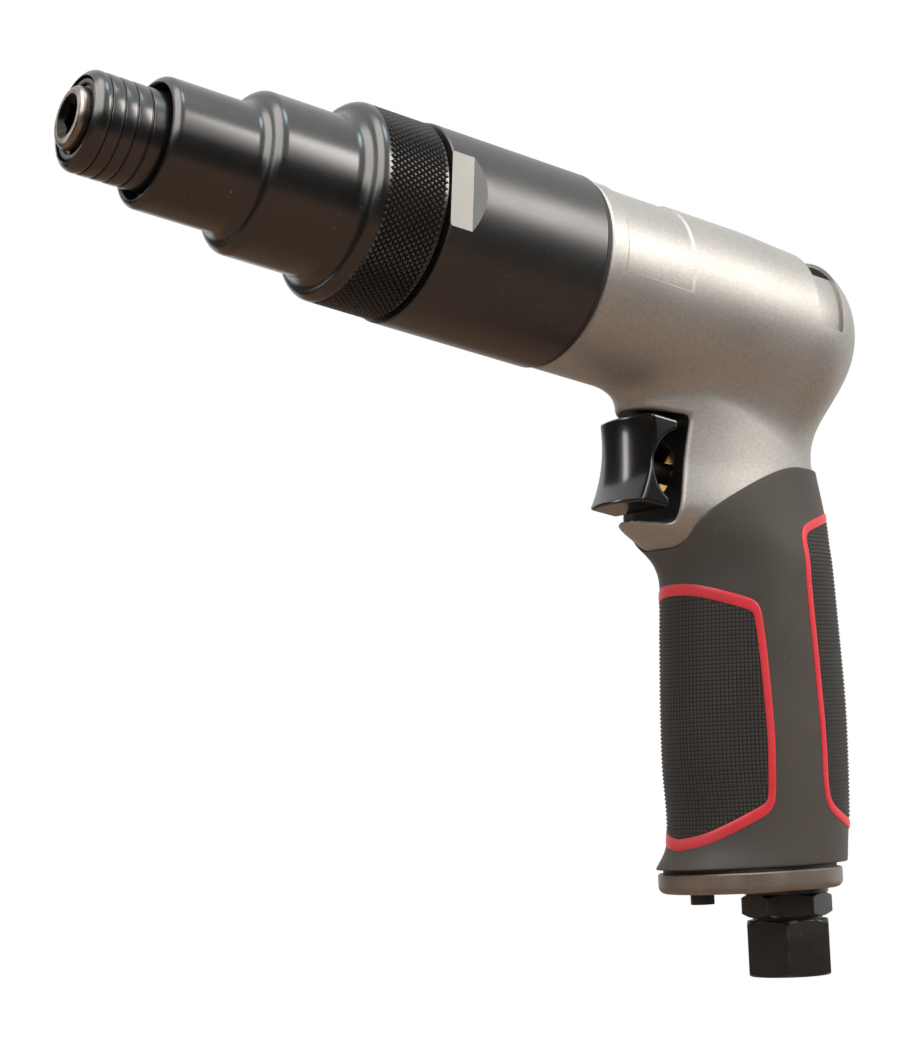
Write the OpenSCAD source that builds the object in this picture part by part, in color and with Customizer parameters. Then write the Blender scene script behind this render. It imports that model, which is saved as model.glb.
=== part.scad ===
/* [Nose] */
// Length of the bit holder's lip ahead of the chuck collar
lip_out = 1.8; // [1:0.1:3]
// Width across the flats of the bit socket
bit_af = 6.35; // [5:0.05:7]
// Depth of the bit socket
bit_depth = 26; // [20:0.5:30]
// Wall of the bit holder round the corners of its socket
holder_wall = 2.88; // [2.5:0.02:3.4]
// Step from the bit holder up to its journal in the nose bush
journal_step = 0.45; // [0.2:0.05:0.8]
// Length of the chuck collar that shows ahead of the adjusting sleeve
collar_out = 15; // [13:0.1:18]
// Radial build of the chuck collar round the bit holder
collar_build = 4; // [3.6:0.05:4.6]
// Travel of the chuck collar when a bit is let go
collar_travel = 4; // [3:0.25:5]
// Depth of the fine grooves round the chuck collar
collar_groove = 0.35; // [0.2:0.05:0.6]
// Number of fine grooves round the chuck collar
collar_grooves = 4; // [2:1:5]
// Radius of the ball that holds the bit
bit_ball_r = 1.55; // [1.2:0.05:1.8]

/* [Adjusting sleeve] */
// Radial build of the front step round the chuck collar
nose_build = 3.3; // [3:0.05:4]
// Length of the front step
step_1_len = 19.7; // [18:0.1:24]
// Share of the rise from the front to the rear step that the middle step takes
step_2_share = 0.47; // [0.42:0.01:0.55]
// Length of the middle step
step_2_len = 20.5; // [19:0.5:25]
// Step from the gear case down to the rear step, which is knurled
knurl_step = 0.4; // [0.1:0.1:1]
// Length of the rear step
step_3_len = 18.7; // [18:0.1:22]
// Round at the front edge of the middle and rear steps
step_round = 3.1; // [1:0.1:3.6]
// Hollow fillet at the foot of the front and middle steps
step_fillet = 2.2; // [0.5:0.1:2.8]
// Round at the mouth of the sleeve
mouth_round = 2.4; // [1:0.1:2.6]
// Wall of the sleeve round the clutch spring
sleeve_wall = 2.3; // [1.8:0.1:3]
// Wall of the sleeve round the neck of the gear case
knurl_wall = 2.65; // [2.2:0.05:3]
// Gap that shows between the sleeve and the gear case
sleeve_gap = 0.6; // [0.3:0.1:1.5]
// Length of the nose bush
bush_len = 9.5; // [7:0.5:11]
// Wall of the nose bush
bush_wall = 2.9; // [2:0.1:3.2]
// Advance of the adjusting nut for one turn of the sleeve
nut_lead = 1.25; // [0.75:0.25:1.5]
// Turns of the adjusting sleeve from least to most torque
nut_turns = 2; // [1:0.5:2]

/* [Gear case] */
// Step from the motor housing up to the gear case
case_step = 0.5; // [0.2:0.1:1.5]
// Length of the gear case from the motor housing to the sleeve
case_len = 42; // [42:0.5:46]
// Depth of the gear case's spigot in the motor housing
spigot_len = 7; // [6:0.5:8]
// Wall of the motor housing round the gear case's spigot
socket_wall = 2.71; // [2.4:0.01:3.2]
// Wall of the gear case's spigot
spigot_wall = 1.9; // [1.5:0.1:2.2]
// Length of the neck that carries the adjusting sleeve
neck_len = 15; // [13:0.5:15]
// Wall of the neck
neck_wall = 3.4; // [2.8:0.1:3.6]
// Thickness of the seal between gear case and motor housing
seal_t = 0.9; // [0.5:0.1:1.5]
// Length of the two wrench flats
flat_len = 7; // [5:0.5:10]
// Depth of the two wrench flats
flat_depth = 1.65; // [1:0.05:1.8]
// Roll of the wrench flats about the barrel
flat_roll = 10; // [0:1:30]
// Chamfer at the front edge of the gear case
case_chamfer = 0.6; // [0.3:0.1:1]

/* [Gears] */
// Wall of the ring gear behind its teeth
ring_back = 1.3; // [1.1:0.1:1.6]
// Teeth of the pinion on the rotor
sun_teeth = 12; // [12:1:12]
// Teeth of each planet gear
planet_teeth = 15; // [15:1:15]
// Width of the planet gears
planet_w = 10.4; // [8:0.2:10.6]
// Radius of the planet pins
planet_pin_r = 2; // [1.5:0.1:2.4]
// Half of the play between two flanks
tooth_play = 0.05; // [0.03:0.01:0.08]

/* [Clutch] */
// Room between the clutch discs and the neck of the gear case
clutch_room = 2.5; // [2.2:0.1:2.8]
// Thickness of the driven clutch disc
jaw_t = 5; // [4:0.5:6]
// Share of the discs' width that the radius of a clutch ball takes
ball_share = 0.44; // [0.36:0.01:0.46]
// Number of clutch balls
clutch_ball_count = 6; // [3:1:7]
// Width of the rings of the clutch discs
disc_w = 5; // [4.6:0.1:5.2]
// Loss of width from the clutch hub to the flats of the driving hexagon
drive_cut = 3.4; // [3:0.1:4]
// Wire of the clutch spring
clutch_wire = 2.4; // [1.8:0.1:2.6]
// Turns of the clutch spring
clutch_coils = 5; // [4:0.5:6]

/* [Motor] */
// Wall of the motor housing round the motor
motor_wall = 4; // [3.6:0.1:4.2]
// Least wall of the motor cylinder
cylinder_wall = 1.95; // [1.6:0.05:2.4]
// Offset of the cylinder's bore from the rotor
rotor_offset = 1.8; // [1:0.1:2]
// Thickness of the motor's end plates
end_plate_t = 7; // [6.8:0.1:8]
// Number of rotor vanes
vane_count = 5; // [4:1:6]
// Thickness of a vane
vane_t = 1.6; // [1.2:0.1:2]
// Width of a vane along the slot
vane_deep = 5; // [3.5:0.1:5.5]

/* [Housing] */
// Radius of the motor housing
housing_r = 21.5; // [21:0.1:23]
// Length of the motor housing from the gear case to its rear end
housing_len = 80; // [78:0.5:88]
// Wall behind the pocket at the rear of the motor housing
rear_wall = 7.2; // [6:0.1:9]
// Length of the rounded rear end
dome_len = 18; // [15:0.5:22]
// Loss of radius where the rounded end starts
dome_taper = 0.8; // [0:0.1:1.5]
// Depth of the shallow pad on top of the housing
pad_depth = 0.4; // [0.2:0.1:0.8]
// Length of the shallow pad
pad_len = 18.6; // [10:0.2:30]
// Start of the shallow pad behind the gear case
pad_from = 4.4; // [2:0.2:8]
// Width of the reverser slot along the barrel
slot_w = 8; // [7:0.1:9]
// Angle from the top to each end of the open part of the slot
slot_open = 45; // [44:1:60]
// Angle from the top to each end of the slot's shallow part
slot_end = 90; // [70:1:100]
// Turn of the reverser from forward to reverse
reverse_turn = 60; // [40:1:60]
// Reach of the reverser's thumb tab beyond the housing
tab_out = 2.6; // [1.5:0.1:4]

/* [Trigger] */
// Depth of the trigger's axis below the barrel's axis
throttle_z = 37.7; // [37:0.1:39]
// Width of the trigger
trigger_w = 20; // [18:0.5:22]
// Height of the trigger
trigger_h = 20; // [18:0.5:22]
// Distance of the trigger's face behind the gear case
trigger_x = 23.5; // [22.5:0.1:25]
// Depth of the trigger from its face to its rear edges
trigger_depth = 7.2; // [6.5:0.1:8]
// Hollow of the trigger's face from top to bottom
trigger_hollow = 1.15; // [0.6:0.05:2]
// Crown of the trigger's face from side to side
trigger_crown = 1.6; // [0.5:0.1:3]
// Wall of the trigger
trigger_wall = 2; // [1.5:0.1:2.5]
// Travel of the trigger
trigger_travel = 2.5; // [2:0.1:3]
// Radius of the throttle bore
throttle_r = 6; // [5.6:0.1:6.4]
// Radius of the throttle valve's stem
stem_r = 2.4; // [2:0.1:2.6]

/* [Grip] */
// Lean of the grip from square to the barrel
grip_rake = 11.4; // [8:0.1:14]
// Distance from the barrel's axis to the foot of the grip, along the grip
grip_foot = 132.2; // [126:0.2:140]
// Depth of the grip from front to back at its waist
grip_depth = 43; // [41:0.5:46]
// Width of the grip
grip_w = 34; // [32.5:0.5:37]
// Place of the grip's front behind the gear case, square to the grip
grip_front = 28; // [27:0.1:29]
// Thickness of the rubber sleeve
rubber_t = 2.4; // [1.8:0.1:2.6]
// Step from the rear to the front of the rubber's upper edge
rubber_sweep = 18.2; // [10:0.2:20]
// Stand of the rubber's upper edge above the motor housing
rubber_proud = 0.8; // [0.3:0.1:1.5]

/* [Base] */
// Thickness of the base plate
plate_t = 4.5; // [4:0.5:7]
// Length of the base plate
plate_len = 43.4; // [42:0.2:47]
// Thickness of the gasket above the base plate
gasket_t = 1; // [0.5:0.1:1.5]
// Bevel along the lower edge of the base plate
plate_bevel = 1.2; // [0.5:0.1:2]
// Radius of the base screw's shank
screw_r = 1.7; // [1.4:0.1:1.9]
// Place of the air inlet behind the grip's front
inlet_back = 28.4; // [27.5:0.1:29]
// Width across the flats of the inlet bushing
bushing_af = 17.8; // [16:0.1:19]
// Width across the flats of the hose adapter
adapter_af = 18.2; // [16:0.1:19]
// Length of the inlet bushing's hexagon
bushing_hex = 5.2; // [4:0.2:8]
// Length of the hose adapter's hexagon
adapter_hex = 12.5; // [11.5:0.1:18]
// Radius of the threaded port, at the crests of its thread
port_r = 5.65; // [5:0.05:6]
// Depth of the threaded port
port_len = 11; // [8:0.5:11.5]
// Radius of the air passage up the grip
passage_r = 5.5; // [4.5:0.1:6]

/* [Fits] */
// Radial clearance of what turns or slides
run_gap = 0.06; // [0.03:0.01:0.1]
// Clearance of what is assembled and stays
seat_gap = 0.05; // [0.02:0.01:0.1]
// Clearance between faces that pass each other
face_gap = 0.3; // [0.2:0.05:0.5]

/* [Hidden] */
$fn = 64;

// Colours of the finishes
black_oxide = [0.09, 0.09, 0.10];
silver_paint = [0.66, 0.65, 0.62];
rubber_grey = [0.17, 0.17, 0.17];
steel = [0.60, 0.60, 0.62];
nickel = [0.55, 0.50, 0.45];
brass = [0.72, 0.55, 0.25];
gloss_black = [0.05, 0.05, 0.06];
seal_black = [0.04, 0.04, 0.04];

// A cut runs past the faces that it opens by this much
past = 1;

// Radii of the barrel, from the bit outwards and from the motor housing to the knurl
holder_r = bit_af / 2 / cos(30) + holder_wall;
journal_r = holder_r + journal_step;
collar_r = holder_r + collar_build;
step_1_r = collar_r + nose_build;
case_r = housing_r + case_step;
step_3_r = case_r - knurl_step;
step_2_r = step_1_r + (step_3_r - step_1_r) * step_2_share;

// Stations along the barrel, ahead of the joint between gear case and motor housing
x_sleeve = case_len + sleeve_gap;
x_step_3 = x_sleeve + step_3_len;
x_step_2 = x_step_3 + step_2_len;
x_step_1 = x_step_2 + step_1_len;
x_collar = x_step_1 + collar_out;
x_mouth = x_collar + lip_out;
x_neck = case_len + neck_len;

// Chuck, from the mouth backwards
clip_t = 1;
washer_t = 1;
clip_room = 1.2;
washer_room = 0.4;
stop_room = 0.7;
ball_sink = 0.15;
collar_recess = 3;
x_web_front = x_collar - collar_recess;
ball_back = 9.2;
x_ball = x_web_front - ball_back;
web_back = 1.4;
x_web_back = x_ball - web_back;
collar_tail = 6;
x_collar_back = x_web_back - collar_tail;
stop_t = 1.2;
x_stop = x_collar_back - collar_travel - stop_t;
collar_wall = 1.35;
collar_spring_r = collar_r - collar_wall;
collar_rim = 1.65;
recess_r = collar_r - collar_rim;
ball_release = 1.45;
release_r = holder_r + ball_release;
ball_land = 2;
collar_edge = 2.2;
clip_groove = 0.75;
mouth_gap = 0.5;
opening_r = collar_r + mouth_gap;
collar_wire = 0.9;
collar_coils = 5;
groove_from = 1;
groove_pitch = (collar_out - collar_edge - groove_from) / (collar_grooves - 0.5);
lip_round = 1.2;

// Nose bush and the chamber behind it
bush_ahead = 4;
x_bush_front = x_step_2 + bush_ahead;
x_bush_back = x_bush_front - bush_len;
bush_r = journal_r + bush_wall;
chamber_r = step_2_r - sleeve_wall;
bush_tail = 2;
x_chamber = x_bush_back + bush_tail;
neck_bore = step_3_r - knurl_wall;
neck_r = neck_bore - run_gap;
neck_in = neck_r - neck_wall;
clutch_r = neck_in - clutch_room;
hub_r = clutch_r - disc_w;
drive_af = 2 * hub_r - drive_cut;

// Gear train
ring_teeth = sun_teeth + 2 * planet_teeth;
dedendum_share = 1.2;
addendum_share = 0.92;
spigot_r = housing_r - socket_wall;
spigot_in = spigot_r - spigot_wall;
ring_r = spigot_in - seat_gap;
tooth_m = (ring_r - ring_back) / (ring_teeth / 2 + dedendum_share);
gear_reach = tooth_m * (sun_teeth + planet_teeth) / 2;
pressure = 22;
addendum = addendum_share * tooth_m;
dedendum = dedendum_share * tooth_m;
planets = 3;
flank_points = 4;
x_teeth = 1;
x_planet = x_teeth + face_gap;
x_carrier = x_planet + planet_w + face_gap;
x_ring_end = x_carrier - face_gap / 2;
relief = 0.2;
ring_relief = ring_r - ring_back + relief;
pinion_gap = 0.7;
pinion_to = x_carrier - pinion_gap;

// Carrier, its bearing and the clutch
carrier_gap = 2.2;
carrier_r = ring_r - carrier_gap;
carrier_t = 4.5;
pilot_r = hub_r / 2;
pilot_depth = 10;
bearing_gap = 0.5;
carrier_bearing_w = 9;
bearing_step = 1;
carrier_bearing_r = ring_r - bearing_step;
x_bearing = x_carrier + carrier_t + bearing_gap;
x_lip = x_bearing + carrier_bearing_w;
lip_t = 1.5;
lip_room = 0.8;
lip_in = clutch_r + lip_room;
x_driver = x_lip + lip_t + face_gap;
driver_t = 5.3;
x_hub = x_driver + driver_t;
ball_pitch_r = (hub_r + clutch_r) / 2;
clutch_ball_r = disc_w * ball_share;
stand_share = 0.45;
ball_stand = clutch_ball_r * stand_share;
x_clutch_ball = x_hub + ball_stand;
x_jaw = x_clutch_ball + ball_stand;
x_spring = x_jaw + jaw_t;

// Adjusting nut and its thrust bearing, ahead of the clutch spring
nut_travel = nut_lead * nut_turns;
thrust_t = 1.5;
thrust_ball_r = 1.5;
nut_t = 6;
nut_room = 0.9;
nut_hole_r = drive_af / 2 / cos(30) + nut_room;
nut_r = chamber_r - run_gap;
nut_back = 2.6;
x_nut_end = x_chamber - nut_back;
x_nut = x_nut_end - nut_t;
x_thrust = x_nut - 2 * thrust_ball_r;
x_washer = x_thrust - thrust_t;
thrust_pitch_r = (nut_hole_r + clutch_r) / 2;
thrust_count = 14;
key_w = 5;
key_len = 3;
key_t = 2.2;
key_back = 4;
x_key = x_neck - key_len - key_back;
spring_room_r = 0.6;
clutch_spring_r = clutch_r - clutch_wire / 2 - spring_room_r;

// Clip that holds the sleeve on the neck
sleeve_clip_t = 1.1;
sleeve_clip_deep = 0.8;
clip_from = 1.8;
x_clip = x_sleeve + clip_from;

// Motor stack, behind the joint
x_front_plate = -spigot_len;
x_cylinder = x_front_plate - end_plate_t;
valve_t = 12;
rear_pocket = 4;
cylinder_len = housing_len - rear_wall - rear_pocket - valve_t - 2 * face_gap - 2 * end_plate_t - spigot_len;
x_cylinder_back = x_cylinder - cylinder_len;
x_rear_plate = x_cylinder_back - end_plate_t;
motor_bore_r = housing_r - motor_wall;
motor_r = motor_bore_r - seat_gap;
rotor_r = motor_r - cylinder_wall - 2 * rotor_offset - face_gap;
cylinder_bore = rotor_r + rotor_offset + face_gap;
front_drop = 0.6;
front_bearing_r = rotor_r - front_drop;
journal_land = 0.15;
front_journal = tooth_m * sun_teeth / 2 + addendum + journal_land;
rear_drop = 1.5;
rear_bearing_r = front_bearing_r - rear_drop;
journal_drop = 2;
rear_journal = front_journal - journal_drop;
small_bearing_w = 6;
plate_web = end_plate_t - small_bearing_w;
vane_room = 0.6;

// Reverser
bore_step = 1;
valve_bore = motor_bore_r - bore_step;
valve_r = valve_bore - run_gap;
x_valve = x_rear_plate - face_gap - valve_t;
x_slot = x_valve + valve_t / 2;
x_bore_end = x_valve - face_gap;
slot_wall = 1.9;
slot_floor = valve_bore + slot_wall;
tab_w = slot_w - 4 * face_gap;
tab_spare = 5;
tab_half = slot_open - reverse_turn / 2 - tab_spare;
tab_lift = 0.5;
tab_foot = valve_bore + tab_lift;
tab_pitch = 4;
tab_groove = 0.7;
stub_r = 2.4;
stub_deep = 7;
port_share = 0.62;
valve_port_r = 3;
pocket_rim = 5.5;
rear_pocket_r = valve_bore - pocket_rim;
housing_edge = 0.6;
taper_share = 0.65;
pad_half = 97;

// Throttle, behind the trigger
throttle_gap = 0.3;
pocket_x = trigger_x + trigger_depth + trigger_travel + throttle_gap;
pocket_over = 1.6;
pocket_under = 2.9;
pocket_top = throttle_z - trigger_h / 2 - pocket_over;
pocket_low = throttle_z + trigger_h / 2 + pocket_under;
bushing_back = 3.2;
x_bushing = pocket_x + bushing_back;
bushing_len = 11;
x_seat = x_bushing + bushing_len;
seal_wire = 0.75;
x_head = x_seat + 2 * seal_wire + seat_gap;
head_t = 3;
head_gap = 1.3;
head_r = throttle_r - head_gap;
spring_room = 11;
end_step = 2;
x_throttle_end = x_head + head_t + spring_room;
throttle_wire = 0.8;
wire_gap = 0.5;
throttle_spring_r = throttle_r - throttle_wire / 2 - wire_gap;
throttle_coils = 6;
feed_r = 3.4;
feed_back = 4;
x_feed = x_seat - feed_back;
feed_into = 3;
seal_groove = 1.6;
groove_deep = 1.5;
bushing_wire = 0.68;
trigger_bend = (pow(trigger_h / 2, 2) + pow(trigger_hollow, 2)) / (2 * trigger_hollow);
trigger_radius = (pow(trigger_w / 2, 2) + pow(trigger_crown, 2)) / (2 * trigger_crown);
front_wall = trigger_x + trigger_hollow / 2 + trigger_wall;
boss_r = 4;
scallop_r = 8.3;
scallop_lip = 0.65;
scallop_x = trigger_x + trigger_crown + scallop_lip + scallop_r;
cross_pin_r = 0.8;
pin_short = 0.2;
pin_share = 0.75;

// Grip, in its own frame: x is ahead, z is up the grip
grip_back = grip_front + grip_depth;
grip_mid = (grip_front + grip_back) / 2;
grip_half = grip_w / 2;
grip_start = 60;
grip_span = grip_foot - grip_start;
neck_span = 72;
sides = 48;
rubber_back = 7.8;
rubber_mid = grip_start - rubber_back;
edge_turn = 68.5;
edge_width = 56;
edge_rings = 3;
edge_gap = 0.35;
edge_room = 5;
s_common = rubber_mid + rubber_sweep / 2 + edge_room;
common_steps = 13;
common_depths = [for (j = [0:common_steps]) s_common + (grip_foot - s_common) * j / common_steps];
neck_depths = [12, 18, 24, 27, 30, 36, 42];
ledge_rings = 3;

// Forms of the neck and grip: share of the length below the trigger, then front, back and side offsets
grip_form = [
    [-0.665, 24, -7.5, 0.5],
    [-0.582, 19, -6.8, -0.6],
    [-0.5, 13.3, -5.4, -2.1],
    [-0.416, 12, -4, -2.7],
    [-0.25, 12.6, -2, -2.5],
    [-0.111, 15, -0.1, -1.5],
    [-0.055, 12, 0.2, -1.1],
    [0.014, 4.4, -0.1, -0.5],
    [0.055, 1.2, -0.1, -0.2],
    [0.111, -0.3, 0, 0],
    [0.3, 0.4, 0.9, 0],
    [0.5, 1.2, 1.7, 0],
    [0.68, 1.5, 1.6, 0],
    [0.86, 0.9, 0.9, 0],
    [0.94, 1.9, 0.3, 0],
    [1, 5, 0, 0.2]
];

// Base, below the grip
s_plate = grip_foot + gasket_t;
s_plate_end = s_plate + plate_t;
plate_ahead = 3.15;
plate_mid = grip_mid - plate_ahead;
plate_half = grip_half;
bevel_share = 0.7;
inlet_h = grip_front + inlet_back;
flange_t = 1.2;
flange_step = 0.6;
flange_r = bushing_af / 2 + flange_step;
bushing_roll = 26;
adapter_roll = 50;
hex_gap = 0.7;
hex_rim = 0.2;
hex_chamfer = 0.6;
waist = 1;
s_hex = s_plate_end + flange_t;
s_hex_end = s_hex + bushing_hex;
s_adapter = s_hex_end + hex_gap;
s_adapter_end = s_adapter + adapter_hex;
shank_r = 7;
shank_up = 14;
s_shank = s_plate - shank_up;
bushing_bore = 5;
tail_up = 9;
tail_bore = 3.4;
screen_top = s_shank + 0.5;
screen_foot = s_hex_end - tail_up - seat_gap;
screen_wall = 0.75;
screen_hole = 0.8;
screen_pitch = 2.4;
screw_in = 7.75;
screw_h = plate_mid - plate_len / 2 + screw_in;
screw_head_r = 2.65;
screw_head_t = 2.4;
screw_socket_r = 1.5;
screw_up = 12;
exhaust_r = 6.8;
exhaust_back = 13.8;
exhaust_h = grip_front + exhaust_back;
exhaust_up = 62;
passage_top = throttle_z + 12;
muffler_len = 18;
side_duct_r = 2.6;
side_duct_y = 9.2;
duct_back = 4;
duct_into = 8;
gasket_in = 1.2;
vent_r = 1.3;
vent_pitch = 4.2;

// Shared shapes

// Points of an arc in a turned profile: centre along and across, radius, first and last angle
function arc(along, across, r, from, to, steps = 6) =
    [for (i = [0:steps]) let (a = from + (to - from) * i / steps) [along + r * cos(a), across + r * sin(a)]];

// One point of an elliptical section: place round it, depth, front, back, half width
function section_point(i, s, front, back, half) =
    let (a = 360 * i / sides) [(front + back + (front - back) * cos(a)) / 2, half * sin(a), -s];

// Smooth curve through the forms: slope at a form, then the curve between two forms
function form_slope(k, column) =
    let (low = max(k - 1, 0), high = min(k + 1, len(grip_form) - 1))
    (grip_form[high][column] - grip_form[low][column]) / (grip_form[high][0] - grip_form[low][0]);
function form_index(share) =
    max([for (k = [0:len(grip_form) - 2]) if (k == 0 || grip_form[k][0] <= share) k]);
function form_share(s) = (s - grip_start) / (s < grip_start ? neck_span : grip_span);
function form(s, column) =
    let (share = form_share(s), k = form_index(share), from = grip_form[k], to = grip_form[k + 1],
        gap = to[0] - from[0], t = (share - from[0]) / gap)
    from[column] * (1 + 2 * t) * pow(1 - t, 2) + to[column] * t * t * (3 - 2 * t)
        + gap * (form_slope(k, column) * t * pow(1 - t, 2) - form_slope(k + 1, column) * t * t * (1 - t));
function skin_point(i, s, inset) =
    section_point(i, s, form(s, 1) - grip_front - inset, inset - form(s, 2) - grip_back,
        grip_half + form(s, 3) - inset);
function skin_ring(s, inset) = [for (i = [0:sides - 1]) skin_point(i, s, inset)];

// Upper edge of the rubber, round the grip: low at the front, high at the back
function from_front(i) = 180 - abs(180 - 360 * i / sides);
function rubber_edge(i) =
    rubber_mid - rubber_sweep / 2 * sin(90 * min(max((from_front(i) - edge_turn) / edge_width, -1), 1));
function rubber_depth(i, j) = j >= edge_rings ? common_depths[j - edge_rings]
    : rubber_edge(i) + (s_common - rubber_edge(i)) * j / edge_rings;
function rubber_ring(j, inset) = [for (i = [0:sides - 1]) skin_point(i, rubber_depth(i, j), inset)];

// Closed skin over a list of sections
module loft(rings) {
    n = len(rings);
    m = len(rings[0]);
    points = [for (ring = rings) for (p = ring) p];
    walls = [for (j = [0:n - 2]) for (i = [0:m - 1])
        let (a = j * m + i, b = j * m + (i + 1) % m)
        each [[a, b, b + m], [a, b + m, a + m]]];
    ends = [[for (i = [m - 1:-1:0]) i], [for (i = [0:m - 1]) (n - 1) * m + i]];
    polyhedron(points, concat(walls, ends));
}

// Skin between a list of outer and a list of inner sections, open at both ends
module lofted_tube(outer, inner) {
    n = len(outer);
    m = len(outer[0]);
    all = concat(outer, [for (j = [n - 1:-1:0]) inner[j]]);
    points = [for (ring = all) for (p = ring) p];
    walls = [for (j = [0:2 * n - 1]) for (i = [0:m - 1])
        let (k = (j + 1) % (2 * n), next = (i + 1) % m,
            a = j * m + i, b = j * m + next, c = k * m + next, d = k * m + i)
        each j < n ? [[a, b, c], [a, c, d]] : [[a, b, d], [b, c, d]]];
    polyhedron(points, walls);
}

// A profile of [along, radius] points turned about the barrel
module turned(points) {
    rotate([0, 90, 0]) rotate_extrude() polygon([for (p = points) [p[1], p[0]]]);
}

// A plain tube or rod along the barrel
module ring_x(from, to, outer, inner = 0) {
    translate([from, 0, 0]) rotate([0, 90, 0]) difference() {
        cylinder(r = outer, h = to - from);
        if (inner > 0) translate([0, 0, -past]) cylinder(r = inner, h = to - from + 2 * past);
    }
}

// Round seal about the barrel
module seal_x(at, r, wire) {
    translate([at, 0, 0]) rotate([0, 90, 0]) rotate_extrude() translate([r, 0]) circle(wire, $fn = 24);
}

// Coil spring along the barrel with closed ends
module coil_x(from, to, r, wire, turns) {
    steps = 12;
    edges = 8;
    count = turns * steps;
    low = from + wire / 2 + seat_gap;
    high = to - wire / 2 - seat_gap;
    open = high - low - 2 * wire;
    function rise(t) = low + wire * min(t, 1) + wire * max(t - turns + 1, 0)
        + open * min(max((t - 1) / (turns - 2), 0), 1);
    rings = [for (i = [0:count])
        let (t = i / steps, a = 360 * t)
        [for (k = [0:edges - 1])
            let (b = -360 * k / edges, q = r + wire / 2 * cos(b))
            [rise(t) + wire / 2 * sin(b), q * cos(a), q * sin(a)]]];
    loft(rings);
}

// A grooved ball bearing along the barrel: two rings and the balls between them
module bearing_x(from, to, outer, inner, balls) {
    width = to - from;
    mid = (outer + inner) / 2;
    ball = (outer - inner) * 0.22;
    land = ball * 0.55;
    difference() {
        union() {
            ring_x(from, to, outer, mid + land);
            ring_x(from, to, mid - land, inner);
        }
        seal_x(from + width / 2, mid, ball + seat_gap);
    }
    for (i = [0:balls - 1])
        rotate([360 * i / balls, 0, 0]) translate([from + width / 2, 0, mid]) sphere(ball, $fn = 32);
}

// Involute gear outline: teeth, tip radius, root radius, change of each half tooth
function involute_turn(angle) = tan(angle) * 180 / PI - angle;
function flank_angle(teeth, r, play) =
    let (pitch_r = tooth_m * teeth / 2, base = pitch_r * cos(pressure))
    90 / teeth - play / pitch_r * 180 / PI + involute_turn(pressure)
        - (r > base ? involute_turn(acos(base / r)) : 0);
module gear_outline(teeth, tip, root, play) {
    radii = [for (k = [0:flank_points]) root + (tip - root) * k / flank_points];
    polygon([for (i = [0:teeth - 1]) let (mid = 360 * i / teeth) each concat(
        [for (r = radii) let (a = mid - flank_angle(teeth, r, play)) r * [cos(a), sin(a)]],
        [for (k = [flank_points:-1:0])
            let (r = radii[k], a = mid + flank_angle(teeth, r, play)) r * [cos(a), sin(a)]])]);
}
module spur_gear(teeth, width) {
    pitch_r = tooth_m * teeth / 2;
    linear_extrude(width) gear_outline(teeth, pitch_r + addendum, pitch_r - dedendum, tooth_play);
}

// Frames

// From the joint between gear case and motor housing to the mouth of the bit socket
module barrel() {
    translate([-x_mouth, 0, 0]) children();
}
module grip_frame() {
    barrel() rotate([0, grip_rake, 0]) children();
}
// A rod down the grip: place behind the gear case, first and last depth
module rod_down(h, from, to, r, y = 0) {
    translate([-h, y, -to]) cylinder(r = r, h = to - from);
}
// A hexagon down the grip with turned chamfers at both ends
module hex_down(h, from, to, flats, roll) {
    corner = flats / 2 / cos(30);
    chamfer = (corner - flats / 2) * hex_chamfer;
    rim = flats / 2 - hex_rim;
    translate([-h, 0, -to]) intersection() {
        rotate([0, 0, roll]) cylinder(r = corner, h = to - from, $fn = 6);
        rotate_extrude() polygon([[0, 0], [rim, 0], [corner, chamfer], [corner, to - from - chamfer],
            [rim, to - from], [0, to - from]]);
    }
}
// Outline of the base plate, grown by an amount
module oval(grow = 0) {
    half = plate_half + grow;
    reach = plate_len / 2 - plate_half;
    for (side = [-1, 1]) translate([side * reach, 0]) circle(half);
    square([2 * reach, 2 * half], center = true);
}

// Motor housing

module housing_barrel() {
    straight = housing_len - dome_len;
    dome_r = housing_r - dome_taper;
    steps = 16;
    dome = [for (i = [0:steps]) let (a = 90 * i / steps) [-straight - dome_len * sin(a), dome_r * cos(a)]];
    turned(concat(
        [[0, 0], [0, housing_r - housing_edge], [-housing_edge, housing_r],
            [-straight * taper_share, housing_r]],
        dome));
}
module housing_core() {
    top = neck_depths[len(neck_depths) - 1];
    neck = [for (s = neck_depths) skin_ring(s, rubber_proud)];
    ledge = [for (j = [1:ledge_rings]) [for (i = [0:sides - 1])
        skin_point(i, top + (rubber_edge(i) - edge_gap - top) * j / ledge_rings, rubber_proud)]];
    step = [for (i = [0:sides - 1]) skin_point(i, rubber_edge(i) - edge_gap, rubber_t)];
    under = [for (j = [0:edge_rings + common_steps]) rubber_ring(j, rubber_t)];
    rotate([0, grip_rake, 0]) loft(concat(neck, ledge, [step], under));
}
module motor_housing() {
    color(silver_paint) barrel() difference() {
        union() {
            housing_barrel();
            housing_core();
        }
        housing_bores();
        housing_pad();
        reverser_slot();
        trigger_pocket();
        air_passages();
    }
}
module housing_bores() {
    ring_x(-spigot_len, past, spigot_r + seat_gap);
    ring_x(x_rear_plate, past, motor_bore_r);
    ring_x(x_bore_end, x_rear_plate + past, valve_bore);
    ring_x(x_bore_end - rear_pocket, x_bore_end + past, rear_pocket_r);
}
module housing_pad() {
    rotate([0, 90, 0]) rotate([0, 0, 180 - pad_half]) translate([0, 0, -pad_from - pad_len])
        rotate_extrude(angle = 2 * pad_half)
            translate([housing_r - pad_depth, 0]) square([past * 2, pad_len]);
}
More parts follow.
